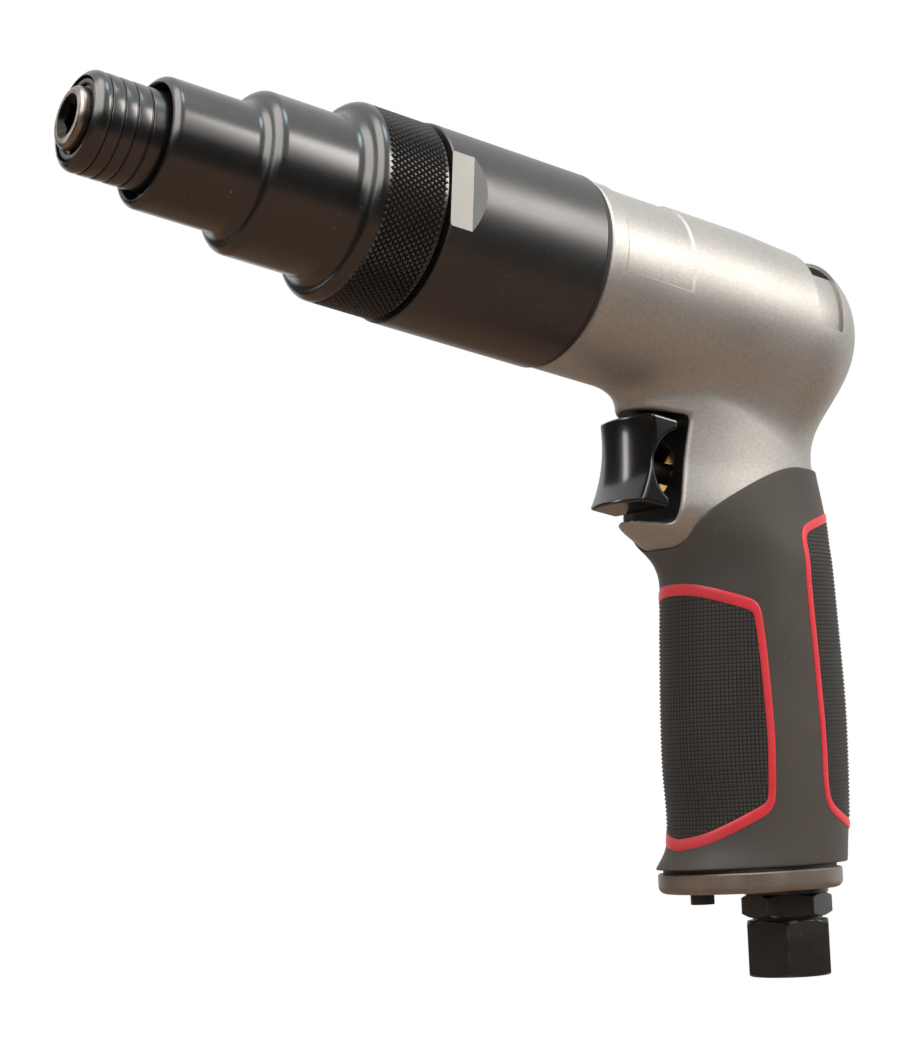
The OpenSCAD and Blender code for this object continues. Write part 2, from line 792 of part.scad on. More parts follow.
// Band round the top of the barrel: half angle, inner and outer radius
module top_band(half, from, to, width) {
    rotate([0, 90, 0]) rotate([0, 0, 180 - half]) translate([0, 0, x_slot - width / 2])
        rotate_extrude(angle = 2 * half) translate([from, 0]) square([to - from, width]);
}
module reverser_slot() {
    top_band(slot_end, slot_floor, housing_r + past, slot_w);
    top_band(slot_open, valve_bore - past, slot_floor + past, slot_w);
}
module trigger_pocket() {
    translate([-pocket_x, -grip_w, -pocket_low]) cube([pocket_x + past, 2 * grip_w, pocket_low - pocket_top]);
}
module air_passages() {
    translate([0, 0, -throttle_z]) {
        ring_x(-x_throttle_end, -pocket_x + past, throttle_r);
        ring_x(-x_throttle_end - spring_room / 2, -x_throttle_end + past, throttle_r - end_step);
    }
    translate([-x_feed, 0, -throttle_z]) cylinder(r = feed_r, h = throttle_z - motor_bore_r + feed_into);
    rotate([0, grip_rake, 0]) {
        rod_down(inlet_h, passage_top, grip_foot + past, passage_r);
        rod_down(inlet_h, s_shank - seat_gap, grip_foot + past, shank_r + seat_gap);
        rod_down(exhaust_h, grip_foot - exhaust_up, grip_foot + past, exhaust_r);
        for (y = [-side_duct_y, side_duct_y])
            rod_down(exhaust_h + duct_back, motor_bore_r, grip_foot - exhaust_up + duct_into, side_duct_r, y);
        rod_down(screw_h, s_plate - screw_up - past, grip_foot + past, screw_r);
    }
}

// Grip and base

module grip_sleeve() {
    function skin(inset) = [for (j = [0:edge_rings + common_steps]) rubber_ring(j, inset)];
    color(rubber_grey) grip_frame() lofted_tube(skin(0), skin(rubber_t - seat_gap));
}
module plate_gasket() {
    color(seal_black) grip_frame() difference() {
        translate([-plate_mid, 0, -s_plate]) linear_extrude(gasket_t - seat_gap) oval(-gasket_in);
        rod_down(inlet_h, grip_foot - past, s_plate + past, shank_r + face_gap);
        rod_down(exhaust_h, grip_foot - past, s_plate + past, exhaust_r);
        rod_down(screw_h, grip_foot - past, s_plate + past, screw_r + face_gap);
    }
}
module base_plate() {
    color(nickel) grip_frame() difference() {
        translate([-plate_mid, 0, -s_plate_end]) {
            translate([0, 0, plate_bevel]) linear_extrude(plate_t - plate_bevel) oval();
            linear_extrude(plate_bevel) oval(-plate_bevel * bevel_share);
        }
        rod_down(inlet_h, s_plate - past, s_plate_end + past, shank_r + face_gap);
        rod_down(screw_h, s_plate - past, s_plate_end + past, screw_r + face_gap);
        for (turn = [0:60:300])
            rod_down(exhaust_h + vent_pitch * cos(turn), s_plate - past, s_plate_end + past, vent_r,
                vent_pitch * sin(turn));
        rod_down(exhaust_h, s_plate - past, s_plate_end + past, vent_r);
    }
}
module base_screw() {
    color(black_oxide) grip_frame() {
        rod_down(screw_h, s_plate - screw_up, s_plate_end, screw_r - seat_gap);
        difference() {
            rod_down(screw_h, s_plate_end, s_plate_end + screw_head_t, screw_head_r);
            translate([-screw_h, 0, -s_plate_end - screw_head_t - past])
                cylinder(r = screw_socket_r, h = screw_head_t / 2 + past, $fn = 6);
        }
    }
}
module inlet_bushing() {
    color(black_oxide) grip_frame() difference() {
        union() {
            rod_down(inlet_h, s_shank, s_plate_end, shank_r);
            rod_down(inlet_h, s_plate_end, s_hex, flange_r);
            hex_down(inlet_h, s_hex, s_hex_end, bushing_af, bushing_roll);
        }
        rod_down(inlet_h, s_shank - past, s_hex_end + past, bushing_bore);
    }
}
module inlet_adapter() {
    color(black_oxide) grip_frame() difference() {
        union() {
            rod_down(inlet_h, s_hex_end - tail_up, s_adapter + past, bushing_bore - seat_gap);
            rod_down(inlet_h, s_hex_end + seat_gap, s_adapter + past, bushing_af / 2 - waist);
            hex_down(inlet_h, s_adapter, s_adapter_end, adapter_af, adapter_roll);
        }
        rod_down(inlet_h, s_adapter_end - port_len, s_adapter_end + past, port_r);
        rod_down(inlet_h, s_hex_end - tail_up - past, s_adapter_end, tail_bore);
    }
}
module inlet_screen() {
    color(brass) grip_frame() difference() {
        rod_down(inlet_h, screen_top, screen_foot, bushing_bore - seat_gap);
        rod_down(inlet_h, screen_top + screen_wall, screen_foot + past,
            bushing_bore - seat_gap - screen_wall);
        for (turn = [0:60:300])
            rod_down(inlet_h + screen_pitch * cos(turn), screen_top - past, screen_top + screen_wall + past,
                screen_hole, screen_pitch * sin(turn));
    }
}
module exhaust_muffler() {
    color(rubber_grey) grip_frame()
        rod_down(exhaust_h, grip_foot - muffler_len, grip_foot, exhaust_r - seat_gap);
}

// Vane motor

module motor_cylinder() {
    color(steel) barrel() difference() {
        ring_x(x_cylinder_back, x_cylinder, motor_r);
        translate([0, 0, rotor_offset]) ring_x(x_cylinder_back - past, x_cylinder + past, cylinder_bore);
    }
}
module front_end_plate() {
    color(steel) barrel() difference() {
        ring_x(x_cylinder, x_front_plate, motor_r, front_journal + face_gap);
        ring_x(x_cylinder + plate_web, x_front_plate + past, front_bearing_r + seat_gap);
    }
}
module rear_end_plate() {
    color(steel) barrel() difference() {
        ring_x(x_rear_plate, x_cylinder_back, motor_r, rear_journal + face_gap);
        ring_x(x_rear_plate - past, x_cylinder_back - plate_web, rear_bearing_r + seat_gap);
    }
}
module front_bearing() {
    color(steel) barrel() bearing_x(x_cylinder + plate_web, x_cylinder + plate_web + small_bearing_w,
        front_bearing_r, front_journal + run_gap, 9);
}
module rear_bearing() {
    color(steel) barrel() bearing_x(x_rear_plate, x_rear_plate + small_bearing_w,
        rear_bearing_r, rear_journal + run_gap, 7);
}
module rotor() {
    color(steel) barrel() {
        difference() {
            ring_x(x_cylinder_back + face_gap, x_cylinder - face_gap, rotor_r);
            for (i = [0:vane_count - 1]) rotate([360 * i / vane_count, 0, 0])
                translate([x_cylinder_back - past, -vane_t / 2, rotor_r - vane_deep - vane_room])
                    cube([cylinder_len + 2 * past, vane_t, rotor_r]);
        }
        ring_x(x_rear_plate + face_gap, x_cylinder_back + 2 * face_gap, rear_journal);
        ring_x(x_cylinder - 2 * face_gap, x_front_plate + face_gap, front_journal);
        rotate([0, 90, 0]) translate([0, 0, x_front_plate])
            spur_gear(sun_teeth, pinion_to - x_front_plate);
    }
}
module rotor_vanes() {
    color(brass) barrel() for (i = [0:vane_count - 1]) rotate([360 * i / vane_count, 0, 0])
        translate([x_cylinder_back + face_gap, -vane_t / 2 + seat_gap, rotor_r - vane_deep])
            cube([cylinder_len - 2 * face_gap, vane_t - 2 * seat_gap, vane_deep]);
}

// Reverser

// The reverser rests turned to the far side of the tool
module reverser_rest() {
    barrel() rotate([reverse_turn / 2, 0, 0]) children();
}
module reverse_valve() {
    color(brass) reverser_rest() difference() {
        ring_x(x_valve, x_valve + valve_t, valve_r);
        for (turn = [45:90:315]) rotate([turn, 0, 0]) translate([0, 0, valve_r * port_share])
            ring_x(x_valve - past, x_valve + valve_t + past, valve_port_r);
        translate([x_slot, 0, valve_r - stub_deep]) cylinder(r = stub_r + seat_gap, h = stub_deep + past);
    }
}
module reverse_lever() {
    tab_top = housing_r - dome_taper / 2 + tab_out;
    color(gloss_black) reverser_rest() {
        translate([x_slot, 0, valve_r - stub_deep + seat_gap])
            cylinder(r = stub_r, h = stub_deep + tab_foot - valve_r);
        difference() {
            top_band(tab_half, tab_foot, tab_top, tab_w);
            for (turn = [-tab_half + tab_pitch:tab_pitch:tab_half - tab_pitch / 2]) rotate([turn, 0, 0])
                translate([x_slot - tab_w / 2 - past, 0, tab_top + tab_groove / 2]) rotate([0, 90, 0])
                    cylinder(r = tab_groove, h = tab_w + 2 * past, $fn = 24);
        }
    }
}

// Throttle

module at_throttle() {
    barrel() translate([0, 0, -throttle_z]) children();
}
module trigger_block() {
    axis = trigger_x + trigger_radius;
    swing = asin(trigger_h / 2 / trigger_bend);
    face = arc(trigger_radius + trigger_bend, 0, trigger_bend, 180 + swing, 180 - swing, 10);
    intersection() {
        translate([-axis, 0, 0]) rotate_extrude()
            polygon(concat([[0, -trigger_h / 2]], face, [[0, trigger_h / 2]]));
        translate([-trigger_x - trigger_depth, -trigger_w / 2, -trigger_h / 2])
            cube([trigger_depth + trigger_radius, trigger_w, trigger_h]);
    }
}
module trigger() {
    color(gloss_black) at_throttle() difference() {
        union() {
            difference() {
                trigger_block();
                translate([-front_wall - trigger_depth / 2, 0, 0])
                    cube([trigger_depth, trigger_w - 2 * trigger_wall, trigger_h - 2 * trigger_wall], center = true);
                for (side = [-1, 1]) translate([-scallop_x, side * trigger_w / 2, 0]) rotate([90, 0, 0])
                    cylinder(r = scallop_r, h = 2 * trigger_wall + past, center = true);
            }
            ring_x(-trigger_x - trigger_depth, -front_wall + past, boss_r);
        }
        ring_x(-trigger_x - trigger_depth - past, -front_wall, stem_r + seat_gap);
        trigger_pin_hole(cross_pin_r + seat_gap, boss_r + past);
    }
}
module trigger_pin_hole(r, half) {
    translate([-trigger_x - trigger_depth * pin_share, 0, 0]) rotate([90, 0, 0])
        cylinder(r = r, h = 2 * half, center = true);
}
module trigger_pin() {
    color(steel) at_throttle() trigger_pin_hole(cross_pin_r, boss_r - pin_short);
}
module valve_stem() {
    color(steel) at_throttle() difference() {
        union() {
            ring_x(-x_head, -front_wall - seat_gap, stem_r);
            ring_x(-x_head - head_t, -x_head, head_r);
        }
        trigger_pin_hole(cross_pin_r + seat_gap, boss_r);
    }
}
module valve_seal() {
    color(seal_black) at_throttle() seal_x(-x_head + seal_wire + seat_gap / 2, head_r - seal_wire, seal_wire);
}
module throttle_bushing() {
    groove = -x_bushing - seal_groove;
    color(brass) at_throttle() difference() {
        ring_x(-x_seat, -x_bushing, throttle_r - seat_gap, stem_r + run_gap);
        ring_x(-x_seat - past, -x_feed + feed_r, head_r - 2 * seal_wire - face_gap);
        translate([-x_feed, 0, 0]) cylinder(r = feed_r - past, h = throttle_r + past);
        ring_x(groove - seal_groove, groove, throttle_r + past, throttle_r - groove_deep);
    }
}
module bushing_seal() {
    color(seal_black) at_throttle()
        seal_x(-x_bushing - seal_groove * 1.5, throttle_r - groove_deep / 2, bushing_wire);
}
module throttle_spring() {
    color(steel) at_throttle()
        coil_x(-x_throttle_end, -x_head - head_t, throttle_spring_r, throttle_wire, throttle_coils);
}

// Gear case and gears

module gear_case() {
    edge = case_chamfer;
    lip_end = x_driver - face_gap;
    seat_r = carrier_bearing_r + seat_gap;
    color(black_oxide) barrel() difference() {
        turned([
            [-spigot_len, spigot_in], [-spigot_len, spigot_r], [seal_t, spigot_r], [seal_t, case_r - edge],
            [seal_t + edge, case_r], [case_len - edge, case_r], [case_len, case_r - edge], [case_len, neck_r],
            [x_neck, neck_r], [x_neck, neck_in], [lip_end, neck_in], [lip_end, lip_in], [x_lip, lip_in],
            [x_lip, seat_r], [x_ring_end, seat_r], [x_ring_end, spigot_in]]);
        for (side = [0, 180]) rotate([side + flat_roll, 0, 0])
            translate([case_len - flat_len, case_r - flat_depth, -case_r])
                cube([flat_len + past / 10, case_r, 2 * case_r]);
        translate([x_key - nut_travel - past, 0, 0]) key_slots(key_w + 2 * face_gap, x_neck);
        clip_groove_cut();
    }
}
// Two slots through the neck for the keys of the adjusting nut
module key_slots(width, length) {
    for (side = [-1, 1]) translate([0, -width / 2, side > 0 ? 0 : -neck_bore])
        cube([length, width, neck_bore]);
}
module clip_groove_cut() {
    ring_x(x_clip - seat_gap, x_clip + sleeve_clip_t + seat_gap, neck_bore + past, neck_r - sleeve_clip_deep);
}
module case_seal() {
    color(seal_black) barrel() ring_x(0, seal_t, housing_r - seat_gap, spigot_r + seat_gap);
}
module ring_gear() {
    pitch_r = tooth_m * ring_teeth / 2;
    color(steel) barrel() difference() {
        ring_x(-spigot_len, x_ring_end, ring_r);
        ring_x(-spigot_len - past, x_teeth, ring_relief);
        rotate([0, 90, 0]) translate([0, 0, -spigot_len]) linear_extrude(spigot_len + x_ring_end + past)
            gear_outline(ring_teeth, pitch_r + dedendum, pitch_r - addendum, -tooth_play);
    }
}
module planet_gear(index) {
    color(steel) barrel() rotate([0, 90, 0]) rotate([0, 0, 360 * index / planets])
        translate([gear_reach, 0, x_planet]) difference() {
            spur_gear(planet_teeth, planet_w);
            translate([0, 0, -past]) cylinder(r = planet_pin_r + run_gap, h = planet_w + 2 * past);
        }
}
module planet_gear_1() {
    planet_gear(0);
}
module planet_gear_2() {
    planet_gear(1);
}
module planet_gear_3() {
    planet_gear(2);
}
module pin_places() {
    for (i = [0:planets - 1]) rotate([0, 90, 0]) rotate([0, 0, 360 * i / planets])
        translate([gear_reach, 0, 0]) children();
}
module planet_pins() {
    color(steel) barrel() pin_places() translate([0, 0, x_planet])
        cylinder(r = planet_pin_r, h = planet_w + face_gap + carrier_t);
}
module planet_carrier() {
    color(steel) barrel() difference() {
        union() {
            ring_x(x_carrier, x_carrier + carrier_t, carrier_r);
            ring_x(x_carrier, x_hub, hub_r);
        }
        pin_places() translate([0, 0, x_carrier - past])
            cylinder(r = planet_pin_r + seat_gap / 2, h = carrier_t + 2 * past);
        ring_x(x_hub - pilot_depth, x_hub + past, pilot_r + seat_gap);
    }
}
module carrier_bearing() {
    color(steel) barrel() bearing_x(x_bearing, x_lip, carrier_bearing_r, hub_r + run_gap, 11);
}

// Clutch

module ball_places() {
    for (i = [0:clutch_ball_count - 1]) rotate([360 * i / clutch_ball_count, 0, 0])
        translate([x_clutch_ball, 0, ball_pitch_r]) children();
}
module clutch_balls() {
    color(steel) barrel() ball_places() sphere(clutch_ball_r, $fn = 32);
}
module clutch_driver() {
    color(steel) barrel() difference() {
        ring_x(x_driver, x_hub, clutch_r, hub_r + seat_gap);
        ball_places() sphere(clutch_ball_r + seat_gap, $fn = 32);
    }
}
module clutch_jaw() {
    color(steel) barrel() difference() {
        ring_x(x_jaw, x_spring, clutch_r);
        drive_hexagon(x_jaw - past, x_spring + past, drive_af + 2 * seat_gap);
        ball_places() sphere(clutch_ball_r + seat_gap, $fn = 32);
    }
}
module drive_hexagon(from, to, flats) {
    translate([from, 0, 0]) rotate([0, 90, 0]) cylinder(r = flats / 2 / cos(30), h = to - from, $fn = 6);
}
module clutch_spring() {
    color(steel) barrel() coil_x(x_spring, x_washer, clutch_spring_r, clutch_wire, clutch_coils);
}

// Bit holder and quick-change chuck

module bit_holder() {
    groove = x_web_front + washer_t;
    hub = x_hub + seat_gap;
    color(steel) barrel() difference() {
        union() {
            ring_x(x_hub - pilot_depth + 1, hub + past, pilot_r - seat_gap);
            drive_hexagon(hub, x_bush_back - face_gap, drive_af);
            ring_x(x_bush_back - face_gap - past, x_bush_front, journal_r);
            turned(concat([[x_bush_front - past, 0], [x_bush_front - past, holder_r]],
                arc(x_mouth - lip_round, holder_r - lip_round, lip_round, 90, 0), [[x_mouth, 0]]));
        }
        bit_socket();
        ring_x(x_stop - seat_gap, x_stop + stop_t + seat_gap, holder_r + past, holder_r - clip_groove);
        ring_x(groove, groove + clip_t + seat_gap, holder_r + past, holder_r - clip_groove);
        translate([x_ball, 0, 0]) cylinder(r = bit_ball_r + seat_gap, h = holder_r + past);
    }
}
module bit_socket() {
    corner = bit_af / 2 / cos(30);
    throat = bit_af / 2 - 0.2;
    lead_in = corner + 1 - throat;
    translate([x_mouth - bit_depth, 0, 0]) rotate([0, 90, 0]) rotate([0, 0, 30])
        cylinder(r = corner, h = bit_depth + past, $fn = 6);
    turned([[x_mouth - lead_in, 0], [x_mouth - lead_in, throat], [x_mouth + past, throat + lead_in + past],
        [x_mouth + past, 0]]);
}
module bit_ball() {
    color(steel) barrel() translate([x_ball, 0, holder_r - bit_ball_r - ball_sink])
        sphere(bit_ball_r, $fn = 32);
}
module open_ring(at, thick, outer, inner) {
    translate([at, 0, 0]) rotate([0, 90, 0]) rotate([0, 0, 20]) rotate_extrude(angle = 320)
        translate([inner, 0]) square([outer - inner, thick]);
}
module spring_stop() {
    color(steel) barrel()
        open_ring(x_stop, stop_t, collar_spring_r - stop_room, holder_r - clip_groove + seat_gap);
}
module holder_washer() {
    color(steel) barrel()
        ring_x(x_web_front, x_web_front + washer_t, recess_r - washer_room, holder_r + seat_gap);
}
module snap_ring() {
    color(steel) barrel()
        open_ring(x_web_front + washer_t, clip_t, recess_r - clip_room, holder_r - clip_groove + seat_gap);
}
module chuck_collar() {
    bore = holder_r + run_gap;
    pocket = x_ball + ball_land;
    outline = concat(
        [[x_collar_back, collar_spring_r], [x_collar_back, collar_r]],
        arc(x_collar - collar_edge, collar_r - collar_edge, collar_edge, 90, 30),
        [[x_collar, recess_r], [x_web_front, recess_r], [x_web_front, bore], [pocket + collar_travel, bore],
            [pocket + collar_travel, release_r], [pocket, release_r], [pocket, bore], [x_web_back, bore],
            [x_web_back, collar_spring_r]]);
    color(black_oxide) barrel() difference() {
        turned(outline);
        for (i = [0:collar_grooves - 1])
            seal_x(x_step_1 + groove_from + i * groove_pitch, collar_r, collar_groove);
    }
}
module collar_spring() {
    color(steel) barrel()
        coil_x(x_stop + stop_t, x_web_back, (collar_spring_r + holder_r) / 2, collar_wire, collar_coils);
}

// Torque adjuster

module adjusting_sleeve() {
    front = x_step_1;
    rear_bore_end = x_neck + face_gap;
    outer = concat(
        [[x_sleeve, step_3_r - case_chamfer], [x_sleeve + case_chamfer, step_3_r]],
        arc(x_step_3 - step_round, step_3_r - step_round, step_round, 90, 0),
        arc(x_step_3 + step_fillet, step_2_r + step_fillet, step_fillet, 180, 270),
        arc(x_step_2 - step_round, step_2_r - step_round, step_round, 90, 0),
        arc(x_step_2 + step_fillet, step_1_r + step_fillet, step_fillet, 180, 270),
        arc(front - mouth_round, step_1_r - mouth_round, mouth_round, 90, 0));
    inner = [
        [front, opening_r], [x_bush_front, opening_r], [x_bush_front, bush_r + seat_gap],
        [x_chamber, bush_r + seat_gap], [x_chamber, chamber_r], [rear_bore_end, chamber_r],
        [rear_bore_end, neck_bore], [x_sleeve, neck_bore]];
    color(black_oxide) barrel() difference() {
        turned(concat(outer, inner));
        ring_x(x_clip - seat_gap, x_clip + sleeve_clip_t + seat_gap, neck_bore + sleeve_clip_deep,
            neck_bore - past);
    }
}
module sleeve_clip() {
    color(steel) barrel() open_ring(x_clip, sleeve_clip_t, neck_bore + sleeve_clip_deep - 2 * run_gap,
        neck_r - sleeve_clip_deep + seat_gap);
}
module nose_bush() {
    color(brass) barrel() ring_x(x_bush_back, x_bush_front, bush_r, journal_r + run_gap);
}
module adjusting_nut() {
    arm_in = nut_r - key_t;
    arm_out = min(nut_r, neck_in - face_gap);
    color(steel) barrel() {
        ring_x(x_nut, x_nut_end, nut_r, nut_hole_r);
        intersection() {
            union() {
                ring_x(x_key, x_nut + past, arm_out, arm_in);
                ring_x(x_key, x_key + key_len, neck_r - face_gap, arm_in);
            }
            translate([x_key - past, 0, 0]) key_slots(key_w, x_nut_end);
        }
    }
}
module thrust_balls() {
    color(steel) barrel() for (i = [0:thrust_count - 1]) rotate([360 * i / thrust_count, 0, 0])
        translate([x_nut - thrust_ball_r, 0, thrust_pitch_r]) sphere(thrust_ball_r - seat_gap, $fn = 32);
}
module thrust_washer() {
    color(steel) barrel() ring_x(x_washer, x_thrust, clutch_r - spring_room_r, nut_hole_r);
}

motor_housing();
grip_sleeve();
base_plate();
plate_gasket();
base_screw();
inlet_bushing();
inlet_adapter();
inlet_screen();
exhaust_muffler();
motor_cylinder();
front_end_plate();
rear_end_plate();
front_bearing();
rear_bearing();
gear_case();
case_seal();
ring_gear();
carrier_bearing();
sleeve_clip();
throttle_bushing();
bushing_seal();
throttle_spring();
trigger();
trigger_pin();
valve_stem();
valve_seal();
reverse_valve();
reverse_lever();
rotor();
rotor_vanes();
planet_carrier();
planet_pins();
clutch_driver();
clutch_balls();
clutch_jaw();
clutch_spring();
bit_holder();
bit_ball();
spring_stop();
holder_washer();
snap_ring();
planet_gear_1();
planet_gear_2();
planet_gear_3();
chuck_collar();
collar_spring();
adjusting_sleeve();
nose_bush();
adjusting_nut();
thrust_balls();
thrust_washer();
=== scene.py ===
"""Dresses the frame of a pistol grip air screwdriver: finished skins, knurl, grip pattern, finishes, studio.

Sizes of pieces are in millimetres, with x from the joint of gear case and housing; the studio is in metres.
"""

from __future__ import annotations

import itertools
import logging
import math
from dataclasses import dataclass
from enum import Enum
from typing import Callable, Optional, Sequence, Union

import bmesh
import bpy
import numpy as np
from mathutils import Matrix

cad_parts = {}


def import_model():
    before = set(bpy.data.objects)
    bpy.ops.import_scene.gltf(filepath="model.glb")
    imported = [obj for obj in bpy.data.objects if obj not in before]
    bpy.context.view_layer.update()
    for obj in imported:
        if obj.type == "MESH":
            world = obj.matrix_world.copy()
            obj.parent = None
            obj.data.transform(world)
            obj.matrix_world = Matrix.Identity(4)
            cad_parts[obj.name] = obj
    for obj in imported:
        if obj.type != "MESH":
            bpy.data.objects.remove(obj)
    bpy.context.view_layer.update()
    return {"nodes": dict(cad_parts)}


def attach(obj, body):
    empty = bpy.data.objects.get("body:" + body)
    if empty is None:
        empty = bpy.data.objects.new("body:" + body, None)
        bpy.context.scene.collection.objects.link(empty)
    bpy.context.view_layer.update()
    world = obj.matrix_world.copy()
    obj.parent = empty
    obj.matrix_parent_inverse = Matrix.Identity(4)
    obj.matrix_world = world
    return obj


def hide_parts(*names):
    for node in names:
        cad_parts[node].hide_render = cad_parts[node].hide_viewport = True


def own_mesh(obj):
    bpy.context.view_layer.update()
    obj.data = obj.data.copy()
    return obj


LOG = logging.getLogger("screwdriver")
MM = 0.001
MOUTH = 118.3  # bit holder's mouth ahead of the joint of gear case and housing, mm
RAKE = math.radians(11.4)  # handle's lean from the vertical
FULL_TURN = 2 * math.pi
FIELD_MASK = "second_field"  # 1 where a finish shows its second field: the grip's patterns, and painted shade in the trigger's pocket
CORNERS = tuple(itertools.product((0, 1), repeat=3))  # of a cell
WELD = 2e-6  # points of a copied node that lie nearer than this become one, m

Colour = tuple[float, float, float]
Point2 = tuple[float, float]
Point3 = tuple[float, float, float]
Number = Union[float, np.ndarray]
Value = Union[float, int, tuple, "Signal"]


# Shader and geometry node maths


class Signal:
    """A node socket that takes part in Python expressions."""

    def __init__(self, bench: Bench, socket: bpy.types.NodeSocket) -> None:
        """Keeps the bench that makes nodes and the socket it stands for."""
        self.bench = bench
        self.socket = socket

    def _join(self, operation: str, *operands: Value) -> Signal:
        """Result of one Math node on numbers or signals, in the node's order."""
        return self.bench.out(self.bench.make("ShaderNodeMath", {"operation": operation}, dict(enumerate(operands))))

    def __add__(self, other: Value) -> Signal:
        """Sum."""
        return self._join("ADD", self, other)

    def __radd__(self, other: Value) -> Signal:
        """Sum, with the signal on the right."""
        return self._join("ADD", other, self)

    def __sub__(self, other: Value) -> Signal:
        """Difference."""
        return self._join("SUBTRACT", self, other)

    def __rsub__(self, other: Value) -> Signal:
        """Difference, with the signal on the right."""
        return self._join("SUBTRACT", other, self)

    def __mul__(self, other: Value) -> Signal:
        """Product."""
        return self._join("MULTIPLY", self, other)

    def __truediv__(self, other: Value) -> Signal:
        """Quotient."""
        return self._join("DIVIDE", self, other)

    def __mod__(self, other: Value) -> Signal:
        """Remainder."""
        return self._join("FLOORED_MODULO", self, other)

    def floor(self) -> Signal:
        """Whole number below."""
        return self._join("FLOOR", self)

    def sine(self) -> Signal:
        """Sine of an angle in radians."""
        return self._join("SINE", self)

    def cosine(self) -> Signal:
        """Cosine of an angle in radians."""
        return self._join("COSINE", self)

    def ramp(self, low: float, high: float) -> Signal:
        """Smooth step from 0 at low to 1 at high."""
        settings = {"interpolation_type": "SMOOTHSTEP"}
        sockets = {"Value": self, "From Min": low, "From Max": high}
        return self.bench.out(self.bench.make("ShaderNodeMapRange", settings, sockets))


class Bench:
    """Makes the nodes of one tree."""

    def __init__(self, tree: bpy.types.NodeTree) -> None:
        """Keeps the tree."""
        self.tree = tree

    def fill(self, node: bpy.types.Node, sockets: dict) -> None:
        """Sets a node's inputs, given by name or place, to values or signals."""
        for key, value in sockets.items():
            if isinstance(value, Signal):
                self.tree.links.new(value.socket, node.inputs[key])
            else:
                node.inputs[key].default_value = value

    def make(
        self, kind: str, settings: Optional[dict] = None, sockets: Optional[dict] = None
    ) -> bpy.types.Node:
        """Adds one node.

        Args:
            kind: the node's type.
            settings: its properties, set first.
            sockets: values or signals for its inputs, by name or place.

        Returns:
            The node.
        """
        node = self.tree.nodes.new(kind)
        for key, value in (settings or {}).items():
            setattr(node, key, value)
        self.fill(node, sockets or {})
        return node

    def out(self, node: bpy.types.Node, key: Union[int, str] = 0) -> Signal:
        """One output of a node as a signal."""
        return Signal(self, node.outputs[key])

    def place(self, stretch: Point3 = (1.0, 1.0, 1.0)) -> Signal:
        """Object coordinates, stretched by a factor along each axis."""
        where = self.out(self.make("ShaderNodeTexCoord"), "Object")
        return self.out(self.make("ShaderNodeMapping", {}, {"Vector": where, "Scale": stretch}))

    def noise(self, where: Signal, size: float, detail: float = 2.0) -> Signal:
        """Noise from 0 to 1 with features of a size in mm, and its octaves as detail."""
        sockets = {"Vector": where, "Scale": 1 / (size * MM), "Detail": detail}
        return self.out(self.make("ShaderNodeTexNoise", {}, sockets), "Fac")

    def flakes(self, where: Signal, size: float) -> Signal:
        """One random value from 0 to 1 per flake of a size in mm."""
        cells = self.make("ShaderNodeTexVoronoi", {}, {"Vector": where, "Scale": 1 / (size * MM)})
        split = self.make("ShaderNodeSeparateColor", {}, {"Color": self.out(cells, "Color")})
        return self.out(split, "Red")

    def blend(self, share: Value, first: Value, second: Value) -> Signal:
        """Mixes two colours or signals: share 0 gives the first, 1 the second."""
        colours = [(*c, 1.0) if isinstance(c, tuple) else c for c in (first, second)]
        node = self.make("ShaderNodeMix", {"data_type": "RGBA"}, {0: share, 6: colours[0], 7: colours[1]})
        return self.out(node, 2)


# Finishes

OCTAVES = 3.0  # of grain and clouds
FLAKE_TINT = 0.35  # how far the tone swings from flake to flake
SPECK_SIZE = 0.55  # mm
SPECK_RANGE = (0.83, 0.86)  # noise between a speck's edge and its middle
SPECK_COLOUR = (0.5, 0.48, 0.45)
RIDGE_RANGE = (0.515, 0.57)  # pointiness between plain faces and worn edges
WEAR_RANGE = (0.35, 0.65)  # clouds between no wear and full wear
MASK_RANGE = (0.4, 0.6)
# painted shade: colour of the inside of the bit holder's hole
PAINTED_HOLE_SHADE = (0.012, 0.011, 0.01)
HOLE_SHADE_FADE = 0.96  # share of the bore's radius where its painted shade starts to fade
COAT_ROUGH = 0.08


class Grain(Enum):
    """How a finish's fine relief runs."""

    EVEN = (1.0, 1.0, 1.0)
    TURNED = (1.0, 0.04, 0.04)
    DRAWN = (0.06, 1.0, 1.0)


